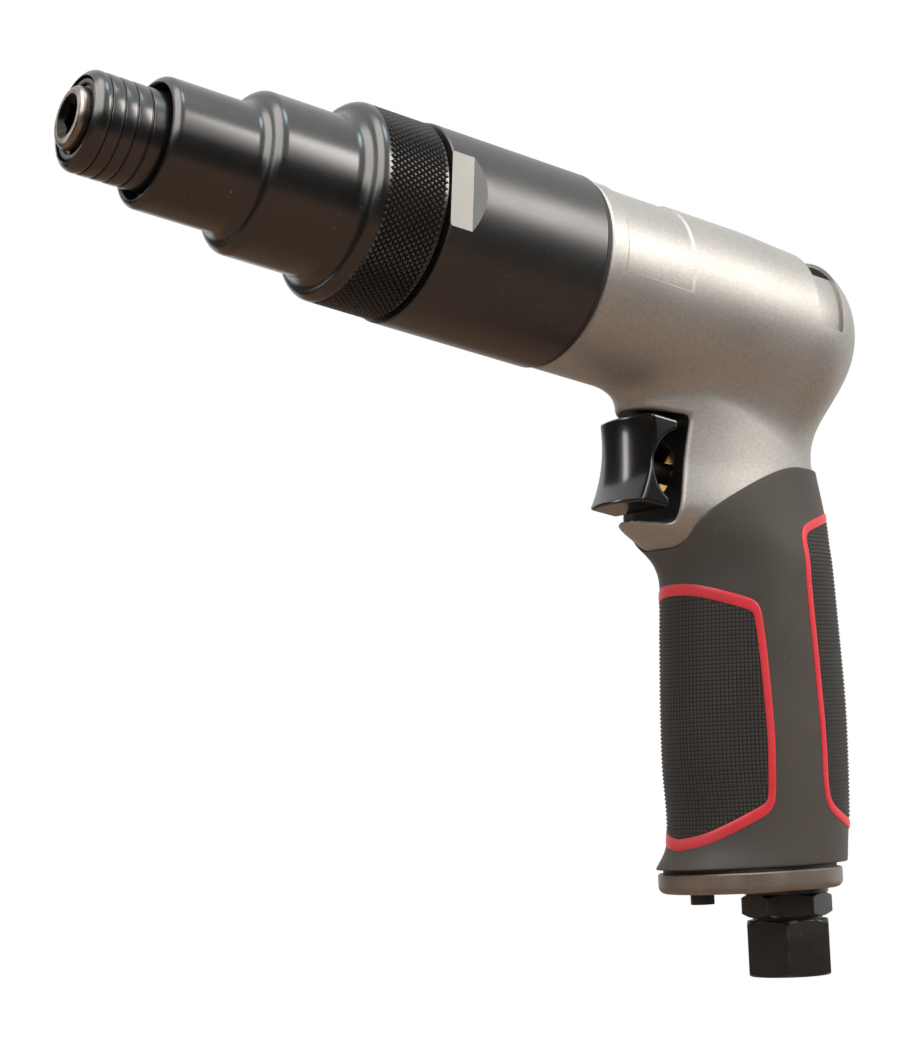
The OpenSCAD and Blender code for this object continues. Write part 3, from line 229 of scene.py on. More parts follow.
@dataclass(frozen=True)
class Finish:
    """A surface: colours, gloss and fine relief from noise in the object's own coordinates, with painted shade in some
    bores and hollows.
    """

    name: str
    colour: Colour
    second: Colour
    rough: float
    metal: float = 0.0
    grain: Grain = Grain.EVEN
    grain_size: float = 0.3
    grain_lift: float = 0.004
    grain_tint: float = 0.35
    cloud_size: float = 9.0
    cloud_tint: float = 0.35
    rough_swing: float = 0.12
    specks: float = 0.0
    flake_size: float = 0.0
    coat: float = 0.0
    specular: float = 0.5
    worn: Optional[Colour] = None
    # second colour where the mask is set: the grip's pattern, and painted shade in the trigger's pocket
    field: Optional[Colour] = None
    # radius from the axis within which the colour turns to painted shade, mm; 0 for none
    bore: float = 0.0

    def material(self) -> bpy.types.Material:
        """The finish's material, made once, beside the frame's plain one."""
        name = f"{self.name}_finish"
        found = bpy.data.materials.get(name)
        if found is None:
            found = bpy.data.materials.new(name)
            found.use_nodes = True
            self.paint(Bench(found.node_tree), found.node_tree.nodes["Principled BSDF"])
        return found

    def paint(self, bench: Bench, shader: bpy.types.Node) -> None:
        """Wires the finish.

        Args:
            bench: maker of the material's nodes.
            shader: the surface's shader.
        """
        where = bench.place()
        along = where if self.grain is Grain.EVEN else bench.place(self.grain.value)
        fine = bench.noise(along, self.grain_size, OCTAVES)
        cloud = bench.noise(where, self.cloud_size, OCTAVES)
        share = 0.5 + (fine - 0.5) * (2 * self.grain_tint) + (cloud - 0.5) * (2 * self.cloud_tint)
        if self.flake_size:
            share = share + (bench.flakes(where, self.flake_size) - 0.5) * FLAKE_TINT
        colour = bench.blend(share.ramp(0.0, 1.0), self.colour, self.second)
        gloss = self.rough + (fine - 0.5) * self.rough_swing + (cloud - 0.5) * self.rough_swing
        if self.specks:
            speck = bench.noise(where, SPECK_SIZE, 0.0).ramp(*SPECK_RANGE) * self.specks
            colour = bench.blend(speck, colour, SPECK_COLOUR)
        if self.worn is not None:
            ridge = bench.out(bench.make("ShaderNodeNewGeometry"), "Pointiness").ramp(*RIDGE_RANGE)
            colour = bench.blend(ridge * cloud.ramp(*WEAR_RANGE), colour, self.worn)
        # second field: the grip's pattern, and the trigger pocket's painted shade
        if self.field is not None:
            mask = bench.out(bench.make("ShaderNodeAttribute", {"attribute_name": FIELD_MASK}), "Fac")
            colour = bench.blend(mask.ramp(*MASK_RANGE), colour, self.field)
        # painted shade: towards the axis the hole's inside turns near black
        if self.bore:
            split = bench.make("ShaderNodeSeparateXYZ", {}, {0: where})
            across, up = bench.out(split, "Y"), bench.out(split, "Z")
            inner = 1 - (across * across + up * up).ramp((HOLE_SHADE_FADE * self.bore * MM) ** 2, (self.bore * MM) ** 2)
            colour = bench.blend(inner, colour, PAINTED_HOLE_SHADE)
        relief = {"Strength": 1.0, "Distance": self.grain_lift * MM, "Height": fine}
        bench.fill(shader, {
            "Base Color": colour, "Roughness": gloss, "Normal": bench.out(bench.make("ShaderNodeBump", {}, relief)),
            "Metallic": self.metal, "Coat Weight": self.coat, "Coat Roughness": COAT_ROUGH,
            "Specular IOR Level": self.specular,
        })


# field: painted shade, near black, inside the trigger's pocket
SILVER_PAINT = Finish(
    "silver_paint", (0.306, 0.295, 0.277), (0.468, 0.452, 0.427), 0.51, 0.78, grain_size=0.22,
    grain_tint=0.12, cloud_size=14.0, cloud_tint=0.1, flake_size=0.28, field=(0.012, 0.012, 0.011),
)
BLACK_OXIDE = Finish(
    "black_oxide", (0.005, 0.0047, 0.0045), (0.01, 0.0094, 0.009), 0.25, 0.0, Grain.TURNED, grain_size=0.12,
    grain_lift=0.0006, cloud_size=7.0, rough_swing=0.05, specks=0.2, specular=0.9,
)
KNURL_OXIDE = Finish(
    "knurl_oxide", (0.007, 0.0066, 0.0062), (0.014, 0.013, 0.0124), 0.38, grain_size=0.2, grain_lift=0.001,
    cloud_size=7.0, specks=0.1, specular=0.4,
)
SCREW_OXIDE = Finish(
    "screw_oxide", (0.012, 0.011, 0.0105), (0.022, 0.02, 0.019), 0.45, 0.2, grain_size=0.2, grain_lift=0.006
)
CASE_OXIDE = Finish(
    "case_oxide", (0.008, 0.0076, 0.0072), (0.016, 0.0148, 0.014), 0.36, 0.0, Grain.TURNED, grain_size=0.12,
    grain_lift=0.0008, rough_swing=0.08, specks=0.2, specular=0.75,
)
HEX_OXIDE = Finish(
    "hex_oxide", (0.016, 0.015, 0.014), (0.035, 0.033, 0.031), 0.42, 0.4, grain_size=0.25, grain_lift=0.01,
    cloud_size=4.0, specks=0.15, worn=(0.4, 0.35, 0.28),
)
GRIP_RUBBER = Finish(
    "grip_rubber", (0.064, 0.054, 0.048), (0.094, 0.081, 0.073), 0.55, grain_size=0.2, grain_lift=0.012,
    grain_tint=0.3, cloud_size=16.0, cloud_tint=0.4, specks=0.12, specular=0.2, field=(0.032, 0.029, 0.027),
)
PANEL_RUBBER = Finish(
    "panel_rubber", (0.05, 0.045, 0.041), (0.07, 0.064, 0.059), 0.55, grain_size=0.25, cloud_size=12.0, specular=0.35
)
TRIM_RUBBER = Finish(
    "trim_rubber", (0.72, 0.022, 0.036), (0.84, 0.05, 0.065), 0.45, grain_lift=0.006, specular=0.4
)
NICKEL_PLATE = Finish(
    "nickel_plate", (0.17, 0.14, 0.118), (0.265, 0.228, 0.196), 0.45, 0.6, grain_size=0.5, grain_lift=0.02,
    cloud_size=6.0,
)
GLOSS_BLACK = Finish(
    "gloss_black", (0.006, 0.006, 0.006), (0.01, 0.0095, 0.0095), 0.17, grain_size=0.8, grain_lift=0.001,
    rough_swing=0.05, coat=0.3,
)
SEAL_RUBBER = Finish("seal_rubber", (0.01, 0.01, 0.01), (0.02, 0.019, 0.018), 0.6, grain_lift=0.005)
FELT = Finish(
    "felt", (0.3, 0.28, 0.25), (0.45, 0.42, 0.37), 0.95, grain_size=0.15, grain_lift=0.08, grain_tint=0.6
)
BRASS = Finish(
    "brass", (0.4, 0.23, 0.06), (0.55, 0.34, 0.11), 0.28, 1.0, Grain.TURNED, grain_size=0.15, grain_lift=0.002
)
BARE_STEEL = Finish(
    "bare_steel", (0.42, 0.4, 0.38), (0.55, 0.53, 0.5), 0.35, 1.0, Grain.TURNED, grain_size=0.12, grain_lift=0.002
)
GROUND_FLAT = Finish(
    "ground_flat", (0.2, 0.194, 0.186), (0.264, 0.256, 0.246), 0.5, 0.6, grain_size=0.25, grain_tint=0.25,
    cloud_tint=0.15,
)
# bore: painted shade in the bit holder's hole
HOLDER_STEEL = Finish(
    "holder_steel", (0.17, 0.13, 0.108), (0.34, 0.314, 0.293), 0.3, 1.0, Grain.TURNED, grain_size=0.2,
    grain_lift=0.003, cloud_size=3.0, cloud_tint=0.6, bore=4.75,
)
DARK_STEEL = Finish(
    "dark_steel", (0.05, 0.047, 0.045), (0.11, 0.105, 0.1), 0.32, 1.0, Grain.TURNED, grain_size=0.15, grain_lift=0.002
)
# painted shade: near-black colour for the casting's bore seen through the reverser's slot
SLOT_BORE_PAINTED_SHADE = Finish(
    "cast_bore", (0.012, 0.0115, 0.011), (0.025, 0.024, 0.022), 0.6, 0.3, grain_size=0.4, grain_lift=0.015
)
SPRING_STEEL = Finish(
    "spring_steel", (0.25, 0.245, 0.24), (0.4, 0.39, 0.38), 0.3, 1.0, Grain.DRAWN, grain_size=0.1, grain_lift=0.002
)
VANE_RESIN = Finish("vane_resin", (0.16, 0.08, 0.035), (0.26, 0.14, 0.06), 0.55, grain_size=0.4, grain_lift=0.01)

NODE_FINISHES: dict[Finish, tuple[str, ...]] = {
    NICKEL_PLATE: ("front_end_plate", "rear_end_plate", "motor_cylinder", "inlet_screen"),
    SEAL_RUBBER: ("plate_gasket", "case_seal", "bushing_seal", "valve_seal"),
    FELT: ("exhaust_muffler",),
    BRASS: ("throttle_bushing", "nose_bush"),
    BARE_STEEL: (
        "front_bearing", "rear_bearing", "carrier_bearing", "ring_gear", "planet_gear_1", "planet_gear_2",
        "planet_gear_3", "planet_pins", "planet_carrier", "rotor", "clutch_driver", "clutch_balls", "clutch_jaw",
        "bit_ball", "thrust_balls", "thrust_washer", "adjusting_nut", "trigger_pin", "valve_stem",
    ),
    HOLDER_STEEL: ("bit_holder",),
    SPRING_STEEL: ("sleeve_clip", "spring_stop"),
    DARK_STEEL: ("snap_ring", "reverse_valve"),
    VANE_RESIN: ("rotor_vanes",),
}


# Meshes


def in_frame(points: np.ndarray) -> np.ndarray:
    """Points in millimetres from the joint plane as metres in the CAD frame."""
    return (np.asarray(points, float) - (MOUTH, 0.0, 0.0)) * MM


def from_frame(points: np.ndarray) -> np.ndarray:
    """Points in metres in the CAD frame as millimetres from the joint plane."""
    return points / MM + (MOUTH, 0.0, 0.0)


def down_grip(h: Number, y: Number, s: Number) -> tuple[Number, Number, Number]:
    """A point of the grip's frame, h along its section and s down it, in the joint plane's frame."""
    return (h * math.cos(RAKE) - s * math.sin(RAKE), y, -h * math.sin(RAKE) - s * math.cos(RAKE))


def arc(along: float, across: float, r: float, start: float, end: float, steps: int = 8) -> list[Point2]:
    """Points (along, radius) of an arc in a turned profile, between two angles in degrees."""
    angles = np.radians(np.linspace(start, end, steps + 1))
    return [(along + r * math.cos(a), across + r * math.sin(a)) for a in angles]


def new_object(name: str, points: np.ndarray, faces: Sequence[Sequence[int]], *finishes: Finish) -> bpy.types.Object:
    """Makes a mesh object from points of the joint plane's frame.

    Args:
        name: the piece's name.
        points: vertices, mm.
        faces: vertex numbers of each face.
        finishes: its finishes, in the order of the material slots.

    Returns:
        The object, linked to the scene.
    """
    mesh = bpy.data.meshes.new(name)
    mesh.from_pydata(in_frame(points).tolist(), [], [tuple(f) for f in faces])
    mesh.validate()
    piece = bpy.data.objects.new(name, mesh)
    bpy.context.scene.collection.objects.link(piece)
    for finish in finishes:
        mesh.materials.append(finish.material())
    return piece


def face_outwards(piece: bpy.types.Object) -> None:
    """Turns the faces of a closed mesh outwards."""
    work = bmesh.new()
    work.from_mesh(piece.data)
    bmesh.ops.recalc_face_normals(work, faces=work.faces)
    work.to_mesh(piece.data)
    work.free()


def shade(piece: bpy.types.Object, crease: float = 32.0) -> None:
    """Smooth shading with creases above an angle in degrees."""
    piece.data.shade_smooth()
    piece.data.set_sharp_from_angle(angle=math.radians(crease))


def settle(piece: bpy.types.Object) -> None:
    """Makes the evaluated mesh the object's own, and removes its modifiers."""
    graph = bpy.context.evaluated_depsgraph_get()
    mesh = bpy.data.meshes.new_from_object(piece.evaluated_get(graph))
    piece.modifiers.clear()
    piece.data = mesh


def values_of(items: bpy.types.bpy_prop_collection, key: str, width: int = 3, kind: type = float) -> np.ndarray:
    """Reads one property of all vertices, loops or faces.

    Args:
        items: the vertices, loops or faces.
        key: the property.
        width: numbers in one value.
        kind: their type.

    Returns:
        One row per item, or one number if the width is 1.
    """
    values = np.empty(len(items) * width, kind)
    items.foreach_get(key, values)
    return values.reshape(-1, width) if width > 1 else values


def mark_field(piece: bpy.types.Object, share: np.ndarray) -> None:
    """Writes where a finish shows its second field, from 0 to 1 per vertex."""
    layer = piece.data.attributes.new(FIELD_MASK, "FLOAT", "POINT")
    layer.data.foreach_set("value", share.astype(np.float32))


def lofted(name: str, rings: Sequence[Sequence], closed: bool, *finishes: Finish) -> bpy.types.Object:
    """Joins rings of points into a solid.

    Args:
        name: the piece's name.
        rings: points of each ring in order, mm; a ring of one point is a tip.
        closed: whether the last ring joins the first; if not, both are capped.
        finishes: its finishes.

    Returns:
        The closed piece.
    """
    sides, first, numbers = max(len(ring) for ring in rings), 0, []
    for ring in rings:
        numbers.append([first + i % len(ring) for i in range(sides)])
        first += len(ring)
    faces = [] if closed else [tuple(numbers[0]), tuple(numbers[-1])]
    for here, there in zip(numbers, numbers[1:] + numbers[:1] if closed else numbers[1:]):
        for i in range(sides):
            j = (i + 1) % sides
            corners = dict.fromkeys((here[i], here[j], there[j], there[i]))
            if len(corners) > 2:
                faces.append(tuple(corners))
    piece = new_object(name, np.concatenate([np.asarray(ring, float) for ring in rings]), faces, *finishes)
    face_outwards(piece)
    return piece


def turned(name: str, outline: Sequence[Point2], *finishes: Finish, sides: int = 192) -> bpy.types.Object:
    """Turns a closed outline about the barrel's axis.

    Args:
        name: the piece's name.
        outline: (along, radius) points in order.
        finishes: its finishes.
        sides: facets round it.

    Returns:
        The closed piece.
    """
    turns = np.linspace(0, FULL_TURN, sides, endpoint=False)
    rings = []
    for along, r in outline:
        rings.append([(along, r * math.cos(t), r * math.sin(t)) for t in (turns if r else turns[:1])])
    piece = lofted(name, rings, True, *finishes)
    shade(piece)
    return piece


def sector(name: str, outline: Sequence[Point3], sides: int = 96) -> bpy.types.Object:
    """Sweeps a closed outline round the top of the barrel.

    Args:
        name: the cutter's name.
        outline: (along, radius, half angle from the top in degrees) points in order.
        sides: facets of the sweep.

    Returns:
        The closed cutter.
    """
    rings = []
    for share in np.linspace(-1, 1, sides + 1):
        spots = [(along, r, math.radians(share * half)) for along, r, half in outline]
        rings.append([(along, r * math.sin(turn), r * math.cos(turn)) for along, r, turn in spots])
    return lofted(name, rings, False, SILVER_PAINT)


def cut(piece: bpy.types.Object, cutter: bpy.types.Object) -> None:
    """Takes a closed cutter out of a closed piece, and deletes the cutter."""
    modifier = piece.modifiers.new("cut", "BOOLEAN")
    modifier.operation = "DIFFERENCE"
    modifier.solver = "MANIFOLD"
    modifier.object = cutter
    settle(piece)
    bpy.data.objects.remove(cutter)


def copied(node: str, name: str, finish: Finish, flat_angle: float = 0.0) -> bpy.types.Object:
    """Copies a CAD node, with its points merged.

    Args:
        node: the CAD node.
        name: the piece's name.
        finish: its finish.
        flat_angle: faces that meet within this angle, in degrees, become one; 0 keeps them all.

    Returns:
        The copy.
    """
    mesh = bpy.data.objects[node].data.copy()
    piece = bpy.data.objects.new(name, mesh)
    bpy.context.scene.collection.objects.link(piece)
    work = bmesh.new()
    work.from_mesh(mesh)
    bmesh.ops.remove_doubles(work, verts=work.verts, dist=WELD)
    if flat_angle:
        bmesh.ops.dissolve_limit(work, angle_limit=math.radians(flat_angle), verts=work.verts, edges=work.edges)
    work.to_mesh(mesh)
    work.free()
    for attribute in [a.name for a in mesh.attributes if a.name == "custom_normal"]:
        mesh.attributes.remove(mesh.attributes[attribute])
    mesh.materials.clear()
    mesh.materials.append(finish.material())
    return piece


def softened(
    node: str, name: str, finish: Finish, width: float, flat: float = 0.5, edge: float = 32.0, crease: float = 38.0
) -> bpy.types.Object:
    """Copies a CAD node and rounds its edges.

    Args:
        node: the CAD node.
        name: the piece's name.
        finish: its finish.
        width: width of the rounding, mm.
        flat: faces that meet within this angle become one, degrees.
        edge: edges above this angle are rounded, degrees.
        crease: edges above this angle stay sharp in the shading, degrees.

    Returns:
        The rounded copy.
    """
    piece = copied(node, name, finish, flat)
    bevel = piece.modifiers.new("rounding", "BEVEL")
    bevel.width = width * MM
    bevel.segments = 4
    bevel.limit_method = "ANGLE"
    bevel.angle_limit = math.radians(edge)
    bevel.use_clamp_overlap = True
    settle(piece)
    shade(piece, crease)
    return piece


def commit(piece: bpy.types.Object, body: str, slot: str, *nodes: str) -> None:
    """Hands a finished piece to the frame.

    Args:
        piece: the piece.
        body: the CAD body it rides on.
        slot: the record's material slot; not used.
        nodes: CAD nodes that it stands for.
    """
    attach(piece, body)
    if nodes:
        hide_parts(*nodes)
    LOG.info("%s: %d faces on %s", piece.name, len(piece.data.polygons), body)


class Repeat:
    """A geometry node tree with named sizes that ends in realised instances and a material."""

    def __init__(self, name: str) -> None:
        """Starts the tree with a geometry input and output."""
        self.tree = bpy.data.node_groups.new(name, "GeometryNodeTree")
        self.tree.interface.new_socket("Geometry", in_out="INPUT", socket_type="NodeSocketGeometry")
        self.tree.interface.new_socket("Geometry", in_out="OUTPUT", socket_type="NodeSocketGeometry")
        self.bench = Bench(self.tree)
        self.source = self.bench.make("NodeGroupInput")
        self.keys: dict[str, str] = {}

    def size(self, name: str, kind: str = "NodeSocketFloat") -> Signal:
        """Adds a named input of a socket type, and gives its value in the tree."""
        socket = self.tree.interface.new_socket(name, in_out="INPUT", socket_type=kind)
        self.keys[name] = socket.identifier
        return self.bench.out(self.source, name)

    def geometry(self) -> Signal:
        """The mesh that the modifier sits on."""
        return self.bench.out(self.source, "Geometry")

    def end(self, shape: Signal, finish: Finish) -> None:
        """Closes the tree: the instances made real, in a finish."""
        real = self.bench.make("GeometryNodeRealizeInstances", {}, {"Geometry": shape})
        dressed = self.bench.make("GeometryNodeSetMaterial", {}, {
            "Geometry": self.bench.out(real), "Material": finish.material()})
        self.bench.make("NodeGroupOutput", {}, {"Geometry": self.bench.out(dressed)})

    def apply(self, piece: bpy.types.Object, sizes: dict[str, float]) -> None:
        """Runs the tree on an object with values for the named inputs, and keeps the plain mesh."""
        modifier = piece.modifiers.new(self.tree.name, "NODES")
        modifier.node_group = self.tree
        for name, value in sizes.items():
            modifier[self.keys[name]] = value
        settle(piece)


# Sculpted solids


def soft_min(a: np.ndarray, b: np.ndarray, reach: Number) -> np.ndarray:
    """Union of two fields with a fillet; reach is the width of the fillet's zone."""
    share = np.clip(0.5 + 0.5 * (b - a) / reach, 0.0, 1.0)
    return b + (a - b) * share - reach * share * (1 - share)


def soft_max(a: np.ndarray, b: np.ndarray, reach: Number) -> np.ndarray:
    """Overlap of two fields with a rounded edge."""
    return -soft_min(-a, -b, reach)


def smooth(low: float, high: float, value: np.ndarray) -> np.ndarray:
    """Smooth step from 0 at low to 1 at high."""
    t = np.clip((value - low) / (high - low), 0.0, 1.0)
    return t * t * (3 - 2 * t)


def ellipse(u: np.ndarray, v: np.ndarray, a: np.ndarray, b: np.ndarray) -> np.ndarray:
    """Approximate signed distance to an ellipse with half axes a and b, negative inside."""
    near = np.hypot(u / a, v / b)
    return near * (near - 1) / np.maximum(np.hypot(u / a**2, v / b**2), 1e-6)


Field = Callable[[np.ndarray], np.ndarray]


@dataclass
class Sculptor:
    """Meshes the zero surface of a field, one vertex per cell, settled on the surface."""

    field: Field
    low: Point3
    high: Point3
    step: float
    agree: float = 0.8
    goes: int = 16
    passes: int = 4
    least_slope: float = 0.05

    def slope(self, points: np.ndarray, reach: float = 0.02) -> np.ndarray:
        """The field's gradient at points, from differences over twice the reach."""
        columns = []
        for axis in np.eye(3) * reach:
            columns.append((self.field(points + axis) - self.field(points - axis)) / (2 * reach))
        return np.stack(columns, 1)

    def normals(self, points: np.ndarray) -> np.ndarray:
        """Outward directions at points of the surface."""
        slope = self.slope(points)
        return slope / np.maximum(np.linalg.norm(slope, axis=1, keepdims=True), 1e-9)

    def mesh(self) -> tuple[np.ndarray, np.ndarray]:
        """Builds the surface.

        Returns:
            Vertices in mm and quads that face outwards.
        """
        axes = [np.arange(a, b, self.step) for a, b in zip(self.low, self.high)]
        shape = tuple(len(a) for a in axes)
        grid = np.stack(np.meshgrid(*axes, indexing="ij"), -1).reshape(-1, 3)
        value = np.concatenate([self.field(part) for part in np.array_split(grid, self.goes)]).reshape(shape)
        inside = value < 0
        cells = tuple(n - 1 for n in shape)
        view = {c: tuple(slice(o, o + n) for o, n in zip(c, cells)) for c in CORNERS}
        count = sum(inside[view[c]].astype(np.int8) for c in CORNERS)
        mixed = (count > 0) & (count < 8)
        number = np.full(cells, -1)
        number[mixed] = np.arange(mixed.sum())
        total = np.zeros((mixed.sum(), 3))
        hits = np.zeros(mixed.sum())
        for a in CORNERS:
            for axis in range(3):
                if a[axis]:
                    continue
                b = tuple(1 if n == axis else o for n, o in enumerate(a))
                va, vb = value[view[a]][mixed], value[view[b]][mixed]
                cross = (va < 0) != (vb < 0)
                spot = np.tile(np.array(a, float), (len(va), 1))
                spot[:, axis] = np.where(cross, va / np.where(cross, va - vb, 1.0), 0.0)
                total += spot * cross[:, None]
                hits += cross
        base = np.stack(np.nonzero(mixed), 1) + total / hits[:, None]
        points = np.array(self.low) + base * self.step
        quads = []
        for axis in range(3):
            u, v = (axis + 1) % 3, (axis + 2) % 3
            core = [slice(1, -1)] * 3
            core[axis] = slice(0, -1)
            ahead = list(core)
            ahead[axis] = slice(1, None)
            here, there = inside[tuple(core)], inside[tuple(ahead)]
            for leaving in (True, False):
                spots = np.stack(np.nonzero(here & ~there if leaving else there & ~here), 1)
                spots[:, u] += 1
                spots[:, v] += 1
                ring = []
                for du, dv in ((-1, -1), (0, -1), (0, 0), (-1, 0)):
                    at = spots.copy()
                    at[:, u] += du
                    at[:, v] += dv
                    ring.append(number[at[:, 0], at[:, 1], at[:, 2]])
                quads.append(np.stack(ring if leaving else ring[::-1], 1))
        for _ in range(self.passes):
            slope = self.slope(points)
            size = np.maximum((slope**2).sum(1), self.least_slope)
            move = slope * (self.field(points) / size)[:, None]
            points = points - np.clip(move, -self.step / 2, self.step / 2)
        return points, np.concatenate(quads)

    def true_shading(self, piece: bpy.types.Object) -> None:
        """Gives the skin the field's own normals, and leaves cut faces flat.

        Args:
            piece: the object made from this field, in the CAD frame.
        """
        mesh = piece.data
        mesh.shade_smooth()
        true = self.normals(from_frame(values_of(mesh.vertices, "co")))
        corner = values_of(mesh.loops, "vertex_index", 1, np.int32)
        sizes = values_of(mesh.polygons, "loop_total", 1, np.int32)
        flat = np.repeat(values_of(mesh.polygons, "normal"), sizes, axis=0)
        agree = (true[corner] * flat).sum(1) > self.agree
        mesh.normals_split_custom_set(np.where(agree[:, None], true[corner], flat).tolist())


# Handle


@dataclass(frozen=True)
class HandleForm:
    """Sections of neck and handle: ellipses that change with the depth below the barrel."""

    front: float = 28.0
    back: float = 71.0
    half: float = 17.0
    start: float = 60.0
    neck_span: float = 72.0
    grip_span: float = 72.2
    foot: float = 132.2
    edge_mid: float = 52.2
    edge_sweep: float = 9.1
    edge_turn: float = 68.5
    edge_width: float = 56.0
    stations: tuple[tuple[float, float, float, float], ...] = (
        (-0.665, 24, -7.5, 0.5), (-0.582, 19, -6.8, -0.6), (-0.5, 13.3, -5.4, -2.1), (-0.416, 12, -4, -2.7),
        (-0.25, 12.6, -2, -2.5), (-0.111, 15, -0.1, -1.5), (-0.055, 12, 0.2, -1.1), (0.014, 4.4, -0.1, -0.5),
        (0.055, 1.2, -0.1, -0.2), (0.111, -0.3, 0, 0), (0.3, 0.4, 0.9, 0), (0.5, 1.2, 1.7, 0),
        (0.68, 1.5, 1.6, 0), (0.86, 0.9, 0.9, 0), (0.94, 1.9, 0.3, 0), (1, 5, 0, 0.2),
    )

    def sizes(self, s: np.ndarray) -> tuple[np.ndarray, np.ndarray, np.ndarray]:
        """Section at a depth.

        Args:
            s: depth below the barrel's axis along the handle, mm.

        Returns:
            Centre, half length and half width of the section.
        """
        table = np.array(self.stations, float)
        low = np.maximum(np.arange(len(table)) - 1, 0)
        high = np.minimum(np.arange(len(table)) + 1, len(table) - 1)
        lean = (table[high, 1:] - table[low, 1:]) / (table[high, :1] - table[low, :1])
        share = (s - self.start) / np.where(s < self.start, self.neck_span, self.grip_span)
        share = np.clip(share, table[0, 0], table[-1, 0])
        k = np.clip(np.searchsorted(table[:, 0], share, "right") - 1, 0, len(table) - 2)
        gap = (table[k + 1, 0] - table[k, 0])[..., None]
        t = (share - table[k, 0])[..., None] / gap
        value = table[k, 1:] * (1 + 2 * t) * (1 - t) ** 2 + table[k + 1, 1:] * t * t * (3 - 2 * t)
        value = value + gap * (lean[k] * t * (1 - t) ** 2 - lean[k + 1] * t * t * (1 - t))
        front, back = value[..., 0] - self.front, -value[..., 1] - self.back
        return (front + back) / 2, (front - back) / 2, self.half + value[..., 2]

    def edge(self, angle: np.ndarray) -> np.ndarray:
        """Depth of the rubber's upper edge at an angle from the front, radians."""
        off = np.abs(np.degrees(np.arctan2(np.sin(angle), np.cos(angle))))
        turn = np.clip((off - self.edge_turn) / self.edge_width, -1, 1)
        return self.edge_mid - self.edge_sweep * np.sin(turn * math.pi / 2)

    def point(self, angle: np.ndarray, s: np.ndarray, inset: Number = 0.0) -> np.ndarray:
        """A point of the skin.

        Args:
            angle: place round the section, radians from the front.
            s: depth, mm.
            inset: distance below the rubber's outer face, mm.

        Returns:
            Points in the joint plane's frame, mm.
        """
        angle, s = np.broadcast_arrays(angle, s)
        centre, a, b = self.sizes(s)
        h = centre + (a - inset) * np.cos(angle)
        y = (b - inset) * np.sin(angle)
        return np.stack(down_grip(h, y, s), -1)

    def normal(self, angle: np.ndarray, s: np.ndarray) -> np.ndarray:
        """Outward direction of the skin at an angle and depth."""
        small = 1e-3
        round_it = self.point(angle + small, s) - self.point(angle - small, s)
        down = self.point(angle, s + small) - self.point(angle, s - small)
        out = np.cross(down, round_it)
        return out / np.linalg.norm(out, axis=-1, keepdims=True)


FORM = HandleForm()


